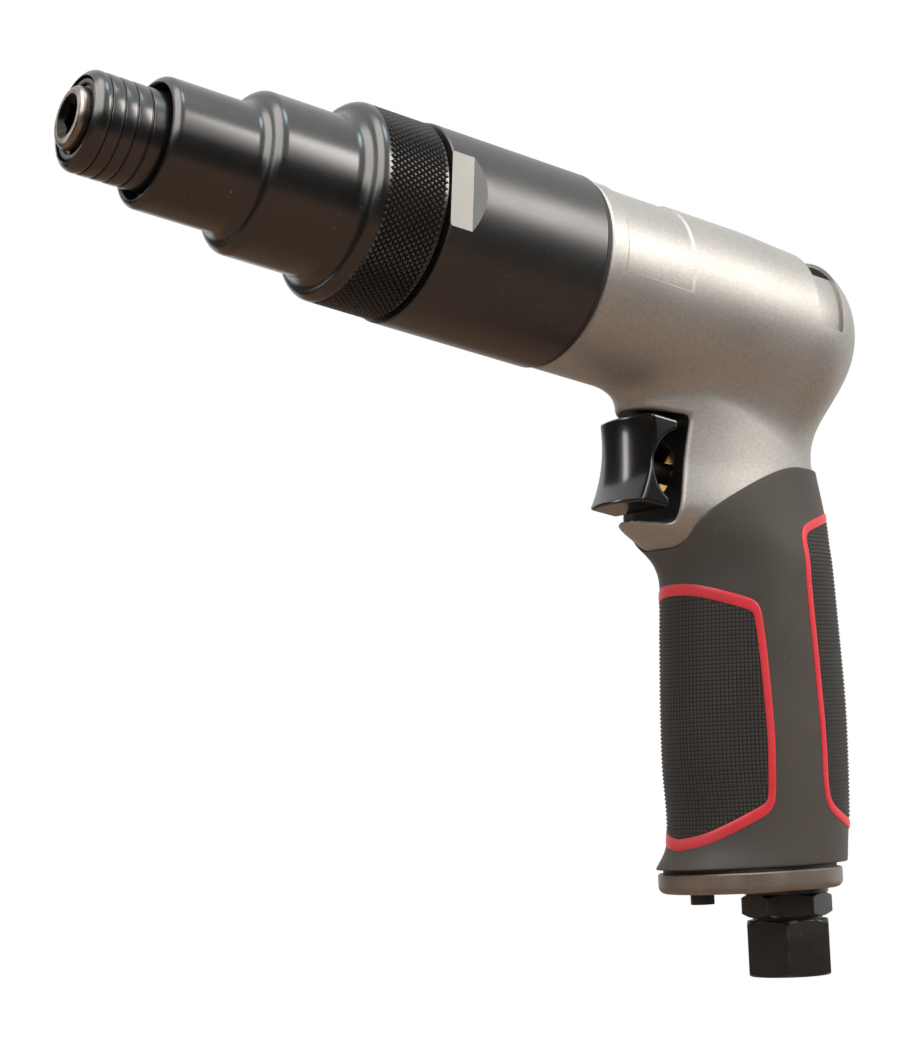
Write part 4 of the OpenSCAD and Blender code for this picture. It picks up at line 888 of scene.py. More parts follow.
@dataclass
class MotorHousing:
    """Painted casting: barrel with domed end, neck and handle core in one skin."""

    radius: float = 21.5
    taper_from: float = 40.3
    dome_from: float = 62.0
    dome_len: float = 18.0
    dome_radius: float = 20.7
    edge: float = 0.8
    proud: float = 0.8
    rubber: float = 2.4
    pad: tuple[float, float] = (4.4, 23.0)
    pad_half: float = 97.0
    pad_depth: float = 0.45
    pad_lean: float = 0.5
    slot_x: float = 62.5
    slot_half: float = 4.0
    slot_floor: float = 19.2
    slot_deep: float = 14.9
    slot_turn: float = 90.0
    slot_open: float = 45.0
    # depth below the slot's floor where the painted shade begins, mm
    slot_shade_margin: float = 0.1
    slot_play: float = 0.01
    # half the depth below the neck's skin at which the pocket's painted shade is full, mm
    pocket_shade_fade: float = 0.7
    pocket_back: float = 33.5
    pocket_top: float = 26.1
    pocket_low: float = 50.6
    throttle_z: float = 37.7
    throttle_r: float = 6.0
    neck_top: float = 5.0
    neck_blend: float = 12.0
    front_fillet: float = 3.5
    back_fillet: float = 12.0
    fillet_run: Point2 = (-30.0, -66.0)
    tuck: Point2 = (0.7, 2.2)
    pocket_round: float = 1.5
    pocket_rim: float = 0.9
    throttle_end: float = 63.0
    throttle_rim: float = 0.4
    front: float = 2.0
    mouth: float = 5.0
    mouth_flare: float = 4.5
    cutter_over: float = 2.0
    bores: tuple[Point2, ...] = (
        (-72.8, 0.0), (-72.8, 11.0), (-68.8, 11.0), (-68.8, 16.5), (-56.2, 16.5), (-56.2, 17.5), (-7.0, 17.5),
        (-7.0, 18.84), (0.0, 18.84),
    )
    low: Point3 = (-100.0, -23.1, -128.0)
    high: Point3 = (4.0, 23.2, 23.2)
    step: float = 0.65

    def barrel(self, p: np.ndarray) -> np.ndarray:
        """Field of the barrel."""
        x, r = p[:, 0], np.hypot(p[:, 1], p[:, 2])
        shrink = (self.radius - self.dome_radius) * smooth(-self.taper_from, -self.dome_from, x)
        radius = self.radius - shrink
        behind = np.maximum(-self.dome_from - x, 0)
        return ellipse(behind, r, np.full_like(r, self.dome_len), radius)

    def neck(self, p: np.ndarray) -> tuple[np.ndarray, np.ndarray]:
        """Field of neck and handle core.

        Args:
            p: points, mm.

        Returns:
            The field, and the distance along the barrel that sets the fillet.
        """
        h = p[:, 0] * math.cos(RAKE) - p[:, 2] * math.sin(RAKE)
        s = -p[:, 0] * math.sin(RAKE) - p[:, 2] * math.cos(RAKE)
        centre, a, b = FORM.sizes(s)
        edge = FORM.edge(np.arctan2(p[:, 1] / b, (h - centre) / a))
        inset = self.proud + (self.rubber - self.proud) * smooth(*self.tuck, s - edge)
        body = ellipse(h - centre, p[:, 1], a - inset, b - inset)
        return soft_max(np.maximum(body, s - FORM.foot), self.neck_top - s, self.neck_blend), h

    def field(self, p: np.ndarray) -> np.ndarray:
        """Field of the whole casting, apart from its turned bores."""
        neck, h = self.neck(p)
        reach = self.front_fillet + (self.back_fillet - self.front_fillet) * smooth(*self.fillet_run, h)
        skin = soft_min(self.barrel(p), neck, reach)
        mid, half = -(self.pocket_top + self.pocket_low) / 2, (self.pocket_low - self.pocket_top) / 2
        pocket = soft_max(-self.pocket_back - p[:, 0], np.abs(p[:, 2] - mid) - half, self.pocket_round)
        skin = soft_max(skin, -pocket, self.pocket_rim)
        bore = np.hypot(p[:, 1], p[:, 2] + self.throttle_z) - self.throttle_r
        skin = soft_max(skin, -np.maximum(bore, -self.throttle_end - p[:, 0]), self.throttle_rim)
        return np.maximum(skin, p[:, 0] - self.front)

    def paint_inside_shade(self, casting: bpy.types.Object) -> None:
        """Colours the inside of the trigger's pocket and of the slot near black: painted shade.

        Args:
            casting: the finished casting.
        """
        mesh = casting.data
        centres = from_frame(values_of(mesh.polygons, "center"))
        # slot: faces below its floor take the second finish, painted shade
        below = np.hypot(centres[:, 1], centres[:, 2]) < self.slot_floor - self.slot_shade_margin
        within = np.abs(centres[:, 0] + self.slot_x) < self.slot_half + self.slot_play
        mesh.polygons.foreach_set("material_index", (below & within).astype(np.int32))
        # pocket: painted shade grows with depth below the neck's skin
        depth, _ = self.neck(from_frame(values_of(mesh.vertices, "co")))
        mark_field(casting, np.clip(-depth / (2 * self.pocket_shade_fade), 0.0, 1.0))

    def build(self) -> None:
        """Sculpts the casting, turns its bores and hands it over."""
        sculptor = Sculptor(self.field, self.low, self.high, self.step)
        # second finish: painted shade for the bore inside the slot
        casting = new_object("housing_casting", *sculptor.mesh(), SILVER_PAINT, SLOT_BORE_PAINTED_SHADE)
        rim = self.radius - self.edge
        flared = rim + self.mouth_flare
        flare = ((0.0, rim), (-self.mouth_flare, flared), (self.mouth, flared), (self.mouth, 0.0))
        cut(casting, turned("bores", self.bores + flare, SILVER_PAINT))
        near, far = (-x for x in self.pad)
        floor, over = self.radius - self.pad_depth, self.radius + self.cutter_over
        lean, half = self.pad_lean, self.pad_half
        inner = half - math.degrees(lean / floor)
        cut(casting, sector("pad", [
            (far + lean, floor, inner), (near - lean, floor, inner), (near, self.radius, half),
            (near, over, half), (far, over, half), (far, self.radius, half)]))
        low, high = -self.slot_x - self.slot_half, -self.slot_x + self.slot_half
        for depth, half in ((self.slot_floor, self.slot_turn), (self.slot_deep, self.slot_open)):
            cut(casting, sector("slot", [(x, r, half) for x, r in (
                (low, depth), (high, depth), (high, over), (low, over))]))
        sculptor.true_shading(casting)
        self.paint_inside_shade(casting)
        commit(casting, "housing", "silver_paint", "motor_housing")


@dataclass
class Panel:
    """Outline of one patterned field of the grip: a loop of angle and depth, the same on both sides."""

    name: str
    top: tuple[Point2, ...]
    side: tuple[Point2, ...]
    bottom: tuple[Point2, ...]
    end_width: float
    side_width: float

    def wrap(self, angle: np.ndarray) -> np.ndarray:
        """Angles as the field counts them: the front field is crossed by angle 0, the rear one by half a turn."""
        return np.where(angle > math.pi, angle - FULL_TURN, angle) if self.name == "front" else angle

    def loop(self, spacing: float = 0.8) -> np.ndarray:
        """The trim's centre line.

        Args:
            spacing: distance between points, mm.

        Returns:
            Rows of angle in radians and depth in mm, round the field once.
        """
        half = list(self.top) + list(self.side) + list(self.bottom)
        line = half + [(-a if self.name == "front" else 360 - a, s) for a, s in reversed(half)]
        line = np.array(line, float)
        for _ in range(4):
            ahead = np.roll(line, -1, axis=0)
            line = np.stack([0.75 * line + 0.25 * ahead, 0.25 * line + 0.75 * ahead], 1).reshape(-1, 2)
        line[:, 0] = np.radians(line[:, 0])
        spots = FORM.point(line[:, 0], line[:, 1])
        gaps = np.linalg.norm(np.roll(spots, -1, axis=0) - spots, axis=1)
        run = np.concatenate([[0], np.cumsum(gaps)])
        closed = np.vstack([line, line[:1]])
        even = np.linspace(0, run[-1], int(run[-1] / spacing), endpoint=False)
        return np.stack([np.interp(even, run, closed[:, 0]), np.interp(even, run, closed[:, 1])], 1)

    def widths(self, line: np.ndarray) -> np.ndarray:
        """Width of the trim at each point of its centre line, mm."""
        spots = FORM.point(line[:, 0], line[:, 1])
        along = np.roll(spots, -1, axis=0) - np.roll(spots, 1, axis=0)
        upright = (along[:, 2] / np.linalg.norm(along, axis=1)) ** 2
        return self.end_width + (self.side_width - self.end_width) * upright

    def holds(self, angle: np.ndarray, s: np.ndarray, margin: float) -> np.ndarray:
        """Tells which points lie inside the trim.

        Args:
            angle: radians from the front.
            s: depth, mm.
            margin: distance kept from the trim's inner edge, mm.

        Returns:
            True for the points inside.
        """
        line = self.loop()
        place = FORM.point(angle, s)
        inside = np.zeros(len(angle), bool)
        clear = np.full(len(angle), np.inf)
        marks = FORM.point(line[:, 0], line[:, 1])
        for (u0, v0), (u1, v1), mark, width in zip(line, np.roll(line, -1, axis=0), marks, self.widths(line)):
            if v0 != v1:
                crossing = (v0 > s) != (v1 > s)
                inside ^= crossing & (angle < u0 + (s - v0) / (v1 - v0) * (u1 - u0))
            clear = np.minimum(clear, np.linalg.norm(place - mark, axis=1) - width / 2)
        return inside & (clear > margin)


@dataclass
class GripSleeve:
    """Rubber sleeve over the handle, its two patterned fields and their raised trims."""

    wall: float = 2.3
    lip: float = 0.72
    lip_high: float = 0.6
    lip_low: float = 2.4
    top_round: float = 0.5
    foot_round: float = 0.4
    columns: int = 168
    rows: int = 120
    trim_up: float = 0.28
    trim_down: float = 0.4
    trim_section: tuple[Point2, ...] = ((-0.5, 0.3), (-0.38, 0.85), (-0.15, 1.0))
    stud_pitch: float = 0.9
    stud_width: float = 0.62
    stud_top: float = 0.4
    stud_height: float = 0.2
    stud_rows_from: float = 50.0
    mask_spill: float = 0.84
    inner_rows: int = 16
    girth_at: float = 97.0
    panels: tuple[Panel, ...] = (
        Panel(
            "front", ((0, 70.2), (18, 70.4), (36, 71.8), (52, 73.6), (62.5, 74.9)),
            ((64.5, 79), (66.4, 86), (68.2, 96), (69.4, 106), (68, 115), (66.4, 119)),
            ((54, 121.2), (40, 123.6), (22, 126), (0, 126.8)), 2.6, 1.75,
        ),
        Panel(
            "rear", ((180, 53.5), (149, 53.9), (126, 55.9), (110, 58)),
            ((101.5, 66), (101.5, 73), (103.4, 84), (104.5, 95), (106.6, 106), (106.2, 117)),
            ((112, 120.5), (132, 123.4), (155, 124.3), (180, 124.5)), 2.0, 1.75,
        ),
    )

    def sleeve(self) -> bpy.types.Object:
        """The sleeve: outer skin, rounded rims and inner wall in one closed mesh."""
        angle = np.linspace(0, FULL_TURN, self.columns, endpoint=False)
        top, foot = FORM.edge(angle), np.full(self.columns, FORM.foot)
        rounding = np.linspace(0, math.pi / 2, 6)
        rows = [(top + self.lip_low, self.wall), (top + self.lip_high, self.lip), (top, self.lip)]
        rows += [(top + self.top_round * (1 - math.cos(t)), self.top_round * (1 - math.sin(t))) for t in rounding]
        first, last = rows[-1][0], foot - self.foot_round
        rows += [(first + (last - first) * k / self.rows, 0.0) for k in range(1, self.rows + 1)]
        rows += [(foot - self.foot_round * (1 - math.sin(t)), self.foot_round * (1 - math.cos(t)))
                 for t in rounding[1:]]
        rows += [(foot + (rows[0][0] - foot) * k / self.inner_rows, self.wall) for k in range(self.inner_rows)]
        rings = [FORM.point(angle, s, inset) for s, inset in rows]
        piece = lofted("grip_rubber_sleeve", rings, True, GRIP_RUBBER)
        depth = np.concatenate([s for s, _ in rows])
        around = np.tile(angle, len(rows))
        field_mask = np.zeros(len(around))
        for panel in self.panels:
            field_mask = np.maximum(field_mask, panel.holds(panel.wrap(around), depth, -self.mask_spill))
        mark_field(piece, field_mask)
        shade(piece, 40.0)
        return piece

    def trim(self, panel: Panel) -> bpy.types.Object:
        """Raised trim round one field.

        Args:
            panel: the field.

        Returns:
            The closed trim.
        """
        line = panel.loop()
        spots, out = FORM.point(line[:, 0], line[:, 1]), FORM.normal(line[:, 0], line[:, 1])
        along = np.roll(spots, -1, axis=0) - np.roll(spots, 1, axis=0)
        along /= np.linalg.norm(along, axis=1, keepdims=True)
        across = np.cross(out, along)
        width = panel.widths(line)
        half = [(-0.5, -self.trim_down)] + [(u, v * self.trim_up) for u, v in self.trim_section]
        section = half + [(-u, v) for u, v in reversed(half)]
        rings = [spots + across * (width * u)[:, None] + out * v for u, v in section]
        piece = lofted(f"grip_trim_{panel.name}", rings, True, TRIM_RUBBER)
        shade(piece, 50.0)
        return piece

    def lattice(self, panel: Panel) -> bpy.types.Object:
        """Loose points of one field's pattern, with their directions.

        Args:
            panel: the field.

        Returns:
            An object of points with the attributes out and round.
        """
        fine = np.linspace(0, FULL_TURN, 4001)
        _, a, b = FORM.sizes(np.array(self.girth_at))
        run = np.concatenate([[0], np.cumsum(np.hypot(np.diff(a * np.cos(fine)), np.diff(b * np.sin(fine))))])
        count = int(run[-1] / self.stud_pitch)
        angle = np.interp(np.arange(count) * run[-1] / count, run, fine)
        angle = panel.wrap(angle)
        depth = np.arange(self.stud_rows_from, FORM.foot, self.stud_pitch)
        angle, depth = (g.ravel() for g in np.meshgrid(angle, depth))
        keep = panel.holds(angle, depth, self.stud_width / 2)
        angle, depth = angle[keep], depth[keep]
        out = FORM.normal(angle, depth)
        around = FORM.point(angle + 1e-3, depth) - FORM.point(angle - 1e-3, depth)
        piece = new_object(f"grip_studs_{panel.name}", FORM.point(angle, depth), (), PANEL_RUBBER)
        for name, vectors in (("out", out), ("round", around)):
            layer = piece.data.attributes.new(name, "FLOAT_VECTOR", "POINT")
            layer.data.foreach_set("vector", np.ascontiguousarray(vectors, np.float32).ravel())
        return piece

    def studs(self, panel: Panel) -> bpy.types.Object:
        """Pattern of one field: a low square stud at each of its points.

        Args:
            panel: the field.

        Returns:
            The plain mesh of all studs.
        """
        piece = self.lattice(panel)
        tree = Repeat("stud pattern")
        width, top, height = (tree.size(n) for n in ("Width", "Top", "Height"))
        bench = tree.bench
        root = 1 / math.sqrt(2)
        stud = bench.make("GeometryNodeMeshCone", {}, {
            "Vertices": 4, "Radius Top": top * root, "Radius Bottom": width * root, "Depth": height})
        turned_stud = bench.make("GeometryNodeTransform", {}, {
            "Geometry": bench.out(stud), "Rotation": (0.0, 0.0, math.pi / 4)})
        axes = {}
        for key, name in (("Primary Axis", "out"), ("Secondary Axis", "round")):
            read = bench.make("GeometryNodeInputNamedAttribute", {"data_type": "FLOAT_VECTOR"}, {"Name": name})
            axes[key] = bench.out(read, "Attribute")
        rotation = bench.make("FunctionNodeAxesToRotation", {"primary_axis": "Z", "secondary_axis": "X"}, axes)
        put = bench.make("GeometryNodeInstanceOnPoints", {}, {
            "Points": tree.geometry(), "Instance": bench.out(turned_stud), "Rotation": bench.out(rotation)})
        tree.end(bench.out(put), PANEL_RUBBER)
        sizes = {"Width": self.stud_width, "Top": self.stud_top, "Height": self.stud_height}
        tree.apply(piece, {k: v * MM for k, v in sizes.items()})
        piece.data.shade_flat()
        return piece

    def build(self) -> None:
        """Makes sleeve, trims and patterns and hands them over."""
        commit(self.sleeve(), "housing", "grip_rubber", "grip_sleeve")
        for panel in self.panels:
            commit(self.trim(panel), "housing", "grip_rubber")
            commit(self.studs(panel), "housing", "grip_rubber")


# Barrel


@dataclass
class Adjuster:
    """Stepped adjusting sleeve with a diamond knurl on its rear step."""

    start: float = 41.6
    knurl_end: float = 56.3
    knurl_lip: float = 0.3
    ends: tuple[float, float, float] = (58.6, 80.2, 101.2)
    radii: tuple[float, float, float] = (21.6, 17.49, 13.846)
    roundings: tuple[Point2, Point2] = ((2.35, 3.0), (2.8, 2.4))
    mouth_round: float = 2.0
    mouth: float = 11.9
    opening: float = 11.05
    tooth_depth: float = 0.42
    tooth_top: float = 0.4
    teeth_around: int = 95
    tooth_rows: int = 16
    rear_break: float = 0.15
    mouth_steps: tuple[Point2, ...] = ((0.3, 0.25), (1.0, 0.0), (4.0, 0.0))
    throat: float = 5.2
    inside: tuple[Point2, ...] = (
        (85.8, 9.95), (78.3, 9.95), (78.3, 15.19), (57.3, 15.19), (57.3, 18.95), (45.55, 18.95), (45.55, 19.75),
        (44.35, 19.75), (44.35, 18.95), (42.3, 18.95), (42.3, 19.4),
    )

    def sleeve(self) -> bpy.types.Object:
        """The turned sleeve, with a shallow band for the knurl."""
        (end_3, end_2, end_1), (r_3, r_2, r_1) = self.ends, self.radii
        low = r_3 - self.tooth_depth
        outline = [(self.start, low - self.rear_break), (self.start + self.knurl_lip / 2, low)]
        outline += [(self.knurl_end - self.knurl_lip, low), (self.knurl_end - self.knurl_lip / 3, r_3)]
        for end, high, below, (r, hollow) in zip((end_3, end_2), (r_3, r_2), (r_2, r_1), self.roundings):
            turn = math.acos(1 - (high - below) / (r + hollow))
            outline += arc(end - r * math.sin(turn), high - r, r, 90, 90 - math.degrees(turn), 12)
            out_x = end + hollow * math.sin(turn)
            outline += arc(out_x, below + hollow, hollow, 270 - math.degrees(turn), 270, 12)[1:]
        outline += arc(end_1 - self.mouth_round, r_1 - self.mouth_round, self.mouth_round, 90, 15, 10)
        outline += [(end_1 - back, self.mouth + wider) for back, wider in self.mouth_steps]
        outline += [(end_1 - self.throat, self.opening), (self.inside[0][0], self.opening), *self.inside]
        outline.append((self.start, self.inside[-1][1]))
        return turned("adjuster_sleeve", outline, BLACK_OXIDE, sides=224)

    def knurl(self) -> bpy.types.Object:
        """Diamond teeth round the rear step, one low pyramid repeated in staggered rows."""
        piece = new_object("adjuster_knurl", np.zeros((0, 3)), (), KNURL_OXIDE)
        tree = Repeat("diamond knurl")
        around, rows = tree.size("Around", "NodeSocketInt"), tree.size("Rows", "NodeSocketInt")
        radius, first, pitch, height = (tree.size(n) for n in ("Radius", "First", "Pitch", "Height"))
        bench = tree.bench
        index = bench.out(bench.make("GeometryNodeInputIndex"))
        row = index % rows
        turn = ((index / rows).floor() + (row % 2) * 0.5) * FULL_TURN / around
        spot = bench.make("ShaderNodeCombineXYZ", {}, {
            "X": first + row * pitch * 0.5, "Y": 0 - turn.sine() * radius, "Z": turn.cosine() * radius})
        tilt = bench.make("ShaderNodeCombineXYZ", {}, {"X": turn})
        places = bench.make("GeometryNodePoints", {}, {"Count": around * rows, "Position": bench.out(spot)})
        tooth = bench.make("GeometryNodeMeshCone", {}, {
            "Vertices": 4, "Radius Top": self.tooth_top, "Radius Bottom": 1.0, "Depth": 1.0})
        scale = bench.make("ShaderNodeCombineXYZ", {}, {
            "X": pitch * 0.5, "Y": radius * (FULL_TURN / 2) / around, "Z": height})
        put = bench.make("GeometryNodeInstanceOnPoints", {}, {
            "Points": bench.out(places), "Instance": bench.out(tooth), "Rotation": bench.out(tilt),
            "Scale": bench.out(scale)})
        tree.end(bench.out(put), KNURL_OXIDE)
        half = (self.knurl_end - self.knurl_lip - self.start - self.knurl_lip / 2) / (self.tooth_rows + 1)
        first_x = self.start + self.knurl_lip / 2 + half
        tree.apply(piece, {
            "Around": self.teeth_around, "Rows": self.tooth_rows, "Radius": (self.radii[0] - self.tooth_depth) * MM,
            "First": (first_x - MOUTH) * MM, "Pitch": 2 * half * MM, "Height": self.tooth_depth * MM})
        piece.data.shade_flat()
        return piece

    def build(self) -> None:
        """Makes sleeve and knurl and hands them over."""
        commit(self.sleeve(), "adjuster", "black_oxide", "adjusting_sleeve")
        commit(self.knurl(), "adjuster", "black_oxide")


@dataclass
class GearCase:
    """Turned gear case with two wrench flats ground bare."""

    start: float = 0.9
    end: float = 42.0
    radius: float = 22.0
    chamfer: float = 0.6
    relief: float = 1.6
    relief_r: float = 19.1
    flat_len: float = 7.0
    flat_depth: float = 1.75
    flat_run: float = 2.4
    flat_roll: float = 10.0
    run_clear: float = 0.4
    flat_match: float = 0.9999
    front_reach: float = 0.1
    cutter: float = 10.0
    spigot: tuple[Point2, ...] = ((-7.0, 16.89), (-7.0, 18.79))
    inside: tuple[Point2, ...] = (
        (57.0, 18.89), (57.0, 15.49), (27.5, 15.49), (27.5, 13.79), (26.0, 13.79), (26.0, 15.89), (11.85, 15.89),
        (11.85, 16.89),
    )

    def build(self) -> None:
        """Turns the case, cuts its flats and hands it over."""
        flat_start, seat = self.end - self.flat_len, self.end - self.relief
        outline = [
            *self.spigot, (self.start, self.spigot[-1][1]), (self.start, self.radius - self.chamfer),
            (self.start + self.chamfer, self.radius), (flat_start - self.flat_run - self.run_clear, self.radius),
            (seat - self.chamfer / 2, self.radius), (seat, self.radius - self.chamfer / 2), (seat, self.relief_r),
            (self.end, self.relief_r), (self.end, self.inside[0][1]), *self.inside,
        ]
        case = turned("gear_case_turned", outline, CASE_OXIDE, GROUND_FLAT, sides=256)
        low, high = self.radius - self.flat_depth, self.radius - self.flat_depth + self.cutter
        front, back = self.end + self.front_reach, flat_start - self.cutter * self.flat_run / self.flat_depth
        block = np.array([
            [(x, low, -self.radius), (x_high, high, -self.radius), (x_high, high, self.radius), (x, low, self.radius)]
            for x, x_high in ((flat_start, back), (front, front))
        ])
        for side in (0, 180):
            roll = math.radians(side + self.flat_roll)
            c, s = math.cos(roll), math.sin(roll)
            turn = np.array(((1, 0, 0), (0, c, s), (0, -s, c)))
            cut(case, lofted("flat_cutter", block @ turn, False, GROUND_FLAT))
        shade(case, 12.0)
        roll = math.radians(self.flat_roll)
        for face in case.data.polygons:
            out = abs(face.normal.y * math.cos(roll) + face.normal.z * math.sin(roll))
            place = face.center.x / MM + MOUTH
            face.material_index = int(out > self.flat_match and flat_start < place < self.end)
        commit(case, "housing", "black_oxide", "gear_case")


@dataclass
class Chuck:
    """Grooved collar of the bit chuck, and the dished washer in its mouth."""

    back: float = 96.9
    front: float = 116.5
    radius: float = 10.546
    edge: float = 2.2
    recess: float = 8.896
    grooves: tuple[float, ...] = (104.3, 107.6, 110.4, 113.3)
    groove: tuple[Point2, ...] = ((0.6, 0.0), (0.4, 0.03), (0.2, 0.14), (0.07, 0.4))
    washer: tuple[float, float, float] = (113.5, 114.5, 116.2)
    washer_rim: tuple[float, float] = (7.25, 8.55)
    washer_seat: tuple[float, float] = (115.6, 7.8)
    washer_bore: float = 6.6
    back_break: float = 0.3
    lip_break: float = 0.15
    inside: tuple[Point2, ...] = (
        (113.5, 6.606), (110.3, 6.606), (110.3, 7.996), (106.3, 7.996), (106.3, 6.606), (102.9, 6.606), (102.9, 9.196),
    )

    def build(self) -> None:
        """Turns collar and washer and hands them over."""
        outline = [(self.back, self.inside[-1][1]), (self.back, self.radius - self.back_break),
                   (self.back + self.back_break, self.radius)]
        for x in self.grooves:
            outline += [(x - half, self.radius - deep) for half, deep in self.groove]
            outline += [(x + half, self.radius - deep) for half, deep in reversed(self.groove)]
        outline += arc(self.front - self.edge, self.radius - self.edge, self.edge, 90, 30, 8)
        outline += [(self.front, self.recess + self.lip_break), (self.front - self.lip_break, self.recess),
                    (self.inside[0][0], self.recess), *self.inside]
        collar = turned("chuck_collar_turned", outline, BLACK_OXIDE, sides=160)
        commit(collar, "collar", "black_oxide", "chuck_collar")
        back, web, front = self.washer
        inner, outer = self.washer_rim
        soft = (outer - inner) / 3
        outline = [(back, self.washer_bore), (back, outer), (front - soft, outer)]
        outline += arc(front - soft, outer - soft, soft, 90, 0, 5) + arc(front - soft, inner + soft, soft, 0, -90, 5)
        seat, under = self.washer_seat
        outline += [(seat, inner), (seat, under), (web, under), (web, self.washer_bore)]
        washer = turned("holder_washer_cup", outline, DARK_STEEL, sides=128)
        commit(washer, "spindle", "steel", "holder_washer")


# Trigger, base and fittings


@dataclass
class Trigger:
    """Moulded trigger: crowned and hollowed face, open sides, boss for the stem."""

    axis_z: float = 37.7
    face_x: float = 23.6
    crown: float = 32.05
    bend: float = 33.0
    half: float = 10.0
    depth: float = 7.2
    wall: float = 2.0
    inner_x: float = 26.075
    scallop_x: float = 34.05
    scallop_r: float = 8.3
    boss: float = 3.5
    boss_end: float = 28.2
    rounding: float = 0.8
    hollow_round: float = 0.4
    scallop_round: float = 0.8
    boss_round: float = 0.6
    stem_r: float = 2.45
    stem_round: float = 0.3
    span: Point2 = (-31.4, -21.6)
    reach: Point2 = (-10.7, 10.8)
    step: float = 0.26

    def field(self, p: np.ndarray) -> np.ndarray:
        """Field of the moulding."""
        x, y, z = p[:, 0], p[:, 1], p[:, 2] + self.axis_z
        sweep = self.crown + self.bend - np.sqrt(np.maximum(self.bend**2 - z * z, 1.0))
        face = np.hypot(x + self.face_x + self.crown, y) - sweep
        block = soft_max(face, np.abs(y) - self.half, self.rounding)
        block = soft_max(block, np.abs(z) - self.half, self.rounding)
        block = soft_max(block, -self.face_x - self.depth - x, self.rounding / 2)
        inner = self.half - self.wall
        hollow = np.maximum(np.maximum(np.abs(y), np.abs(z)) - inner, x + self.inner_x)
        block = soft_max(block, -hollow, self.hollow_round)
        scallop = np.hypot(x + self.scallop_x, z) - self.scallop_r
        block = soft_max(block, -np.maximum(scallop, inner - 1 - np.abs(y)), self.scallop_round)
        bore = np.hypot(y, z)
        stub = np.maximum(np.maximum(bore - self.boss, x + self.inner_x - 1), -self.boss_end - x)
        block = soft_min(block, stub, self.boss_round)
        return soft_max(block, -np.maximum(bore - self.stem_r, x + self.inner_x), self.stem_round)

    def build(self) -> None:
        """Sculpts the trigger and hands it over."""
        low, high = ((x, reach, reach - self.axis_z) for x, reach in zip(self.span, self.reach))
        sculptor = Sculptor(self.field, low, high, self.step)
        piece = new_object("trigger_moulding", *sculptor.mesh(), GLOSS_BLACK)
        sculptor.true_shading(piece)
        commit(piece, "trigger", "gloss_black", "trigger")


@dataclass
class BasePlate:
    """Plated base plate with a rounded lower edge, its bores and its vents, in the grip's frame."""

    mid: float = -46.35
    half_length: float = 21.7
    half_width: float = 17.0
    top: float = 133.2
    bottom: float = 137.7
    break_edge: float = 0.3
    rounding: float = 1.7
    corner_steps: int = 40
    bores: tuple[Point2, ...] = ((-56.4, 7.3), (-32.4, 2.0))
    bore_sides: int = 64
    drill_over: float = 1.0
    vent_mid: float = -41.8
    vent_pitch: float = 4.2
    vent_r: float = 1.3
    vent_ring: int = 6

    def ring(self, inset: float, s: float) -> list[Point3]:
        """The plate's outline, set in from its edge, at a depth down the grip."""
        r, reach = self.half_width - inset, self.half_length - self.half_width
        turns = np.linspace(-0.25, 0.25, self.corner_steps + 1) * FULL_TURN
        front = [(self.mid + reach + r * math.cos(t), r * math.sin(t)) for t in turns]
        back = [(self.mid - reach - r * math.cos(t), -r * math.sin(t)) for t in turns]
        return [down_grip(h, y, s) for h, y in front + back]

    def drill(self, plate: bpy.types.Object, h: float, y: float, r: float) -> None:
        """Bores a round hole of radius r through the plate, h along it and y across it."""
        turns = np.linspace(0, FULL_TURN, self.bore_sides, endpoint=False)
        rings = [[down_grip(h + r * math.cos(t), y + r * math.sin(t), s) for t in turns]
                 for s in (self.top - self.drill_over, self.bottom + self.drill_over)]
        cut(plate, lofted("drill", rings, False, NICKEL_PLATE))

    def build(self) -> None:
        """Makes the plate, drills it and hands it over."""
        edge = [(self.break_edge, self.top), (0.0, self.top + self.break_edge)]
        for turn in np.radians(np.linspace(0, 90, 9)):
            edge.append((self.rounding * (1 - math.cos(turn)), self.bottom - self.rounding * (1 - math.sin(turn))))
        plate = lofted("base_plate_cast", [self.ring(inset, s) for inset, s in edge], False, NICKEL_PLATE)
        for h, r in self.bores:
            self.drill(plate, h, 0.0, r)
        self.drill(plate, self.vent_mid, 0.0, self.vent_r)
        for turn in np.linspace(0, FULL_TURN, self.vent_ring, endpoint=False):
            h, y = self.vent_mid - self.vent_pitch * math.cos(turn), self.vent_pitch * math.sin(turn)
            self.drill(plate, h, y, self.vent_r)
        shade(plate, 30.0)
        commit(plate, "housing", "nickel_plate", "base_plate")


@dataclass
class Fittings:
    """Inlet hexagons, screw and reverser lever, with their edges broken."""

    copies: tuple[tuple[str, str, Finish, str, str, float], ...] = (
        ("base_screw", "base_screw_head", SCREW_OXIDE, "housing", "black_oxide", 0.2),
        ("inlet_bushing", "inlet_bushing_hex", HEX_OXIDE, "housing", "black_oxide", 0.25),
        ("inlet_adapter", "inlet_adapter_hex", HEX_OXIDE, "housing", "black_oxide", 0.25),
        ("reverse_lever", "reverse_lever_thumb", BLACK_OXIDE, "reverser", "black_oxide", 0.5),
    )

    def build(self) -> None:
        """Rounds each fitting and hands it over."""
        for node, name, finish, body, slot, width in self.copies:
            commit(softened(node, name, finish, width), body, slot, node)


@dataclass
class Springs:
    """Coil springs, copied from the CAD nodes."""

    coils: tuple[tuple[str, str, str, float], ...] = (
        ("throttle_spring", "housing", "trigger_press", 2.5),
        ("collar_spring", "spindle", "collar_slide", 4.0),
        ("clutch_spring", "spindle", "nut_slide", 2.51),
    )
    play: float = 0.03

    def build(self) -> None:
        """Copies each spring and hands it over."""
        for node, body, joint, travel in self.coils:
            piece = copied(node, node + "_coil", SPRING_STEEL)
            shade(piece)
            commit(piece, body, "spring_steel", node)
            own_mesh(piece)


# Studio


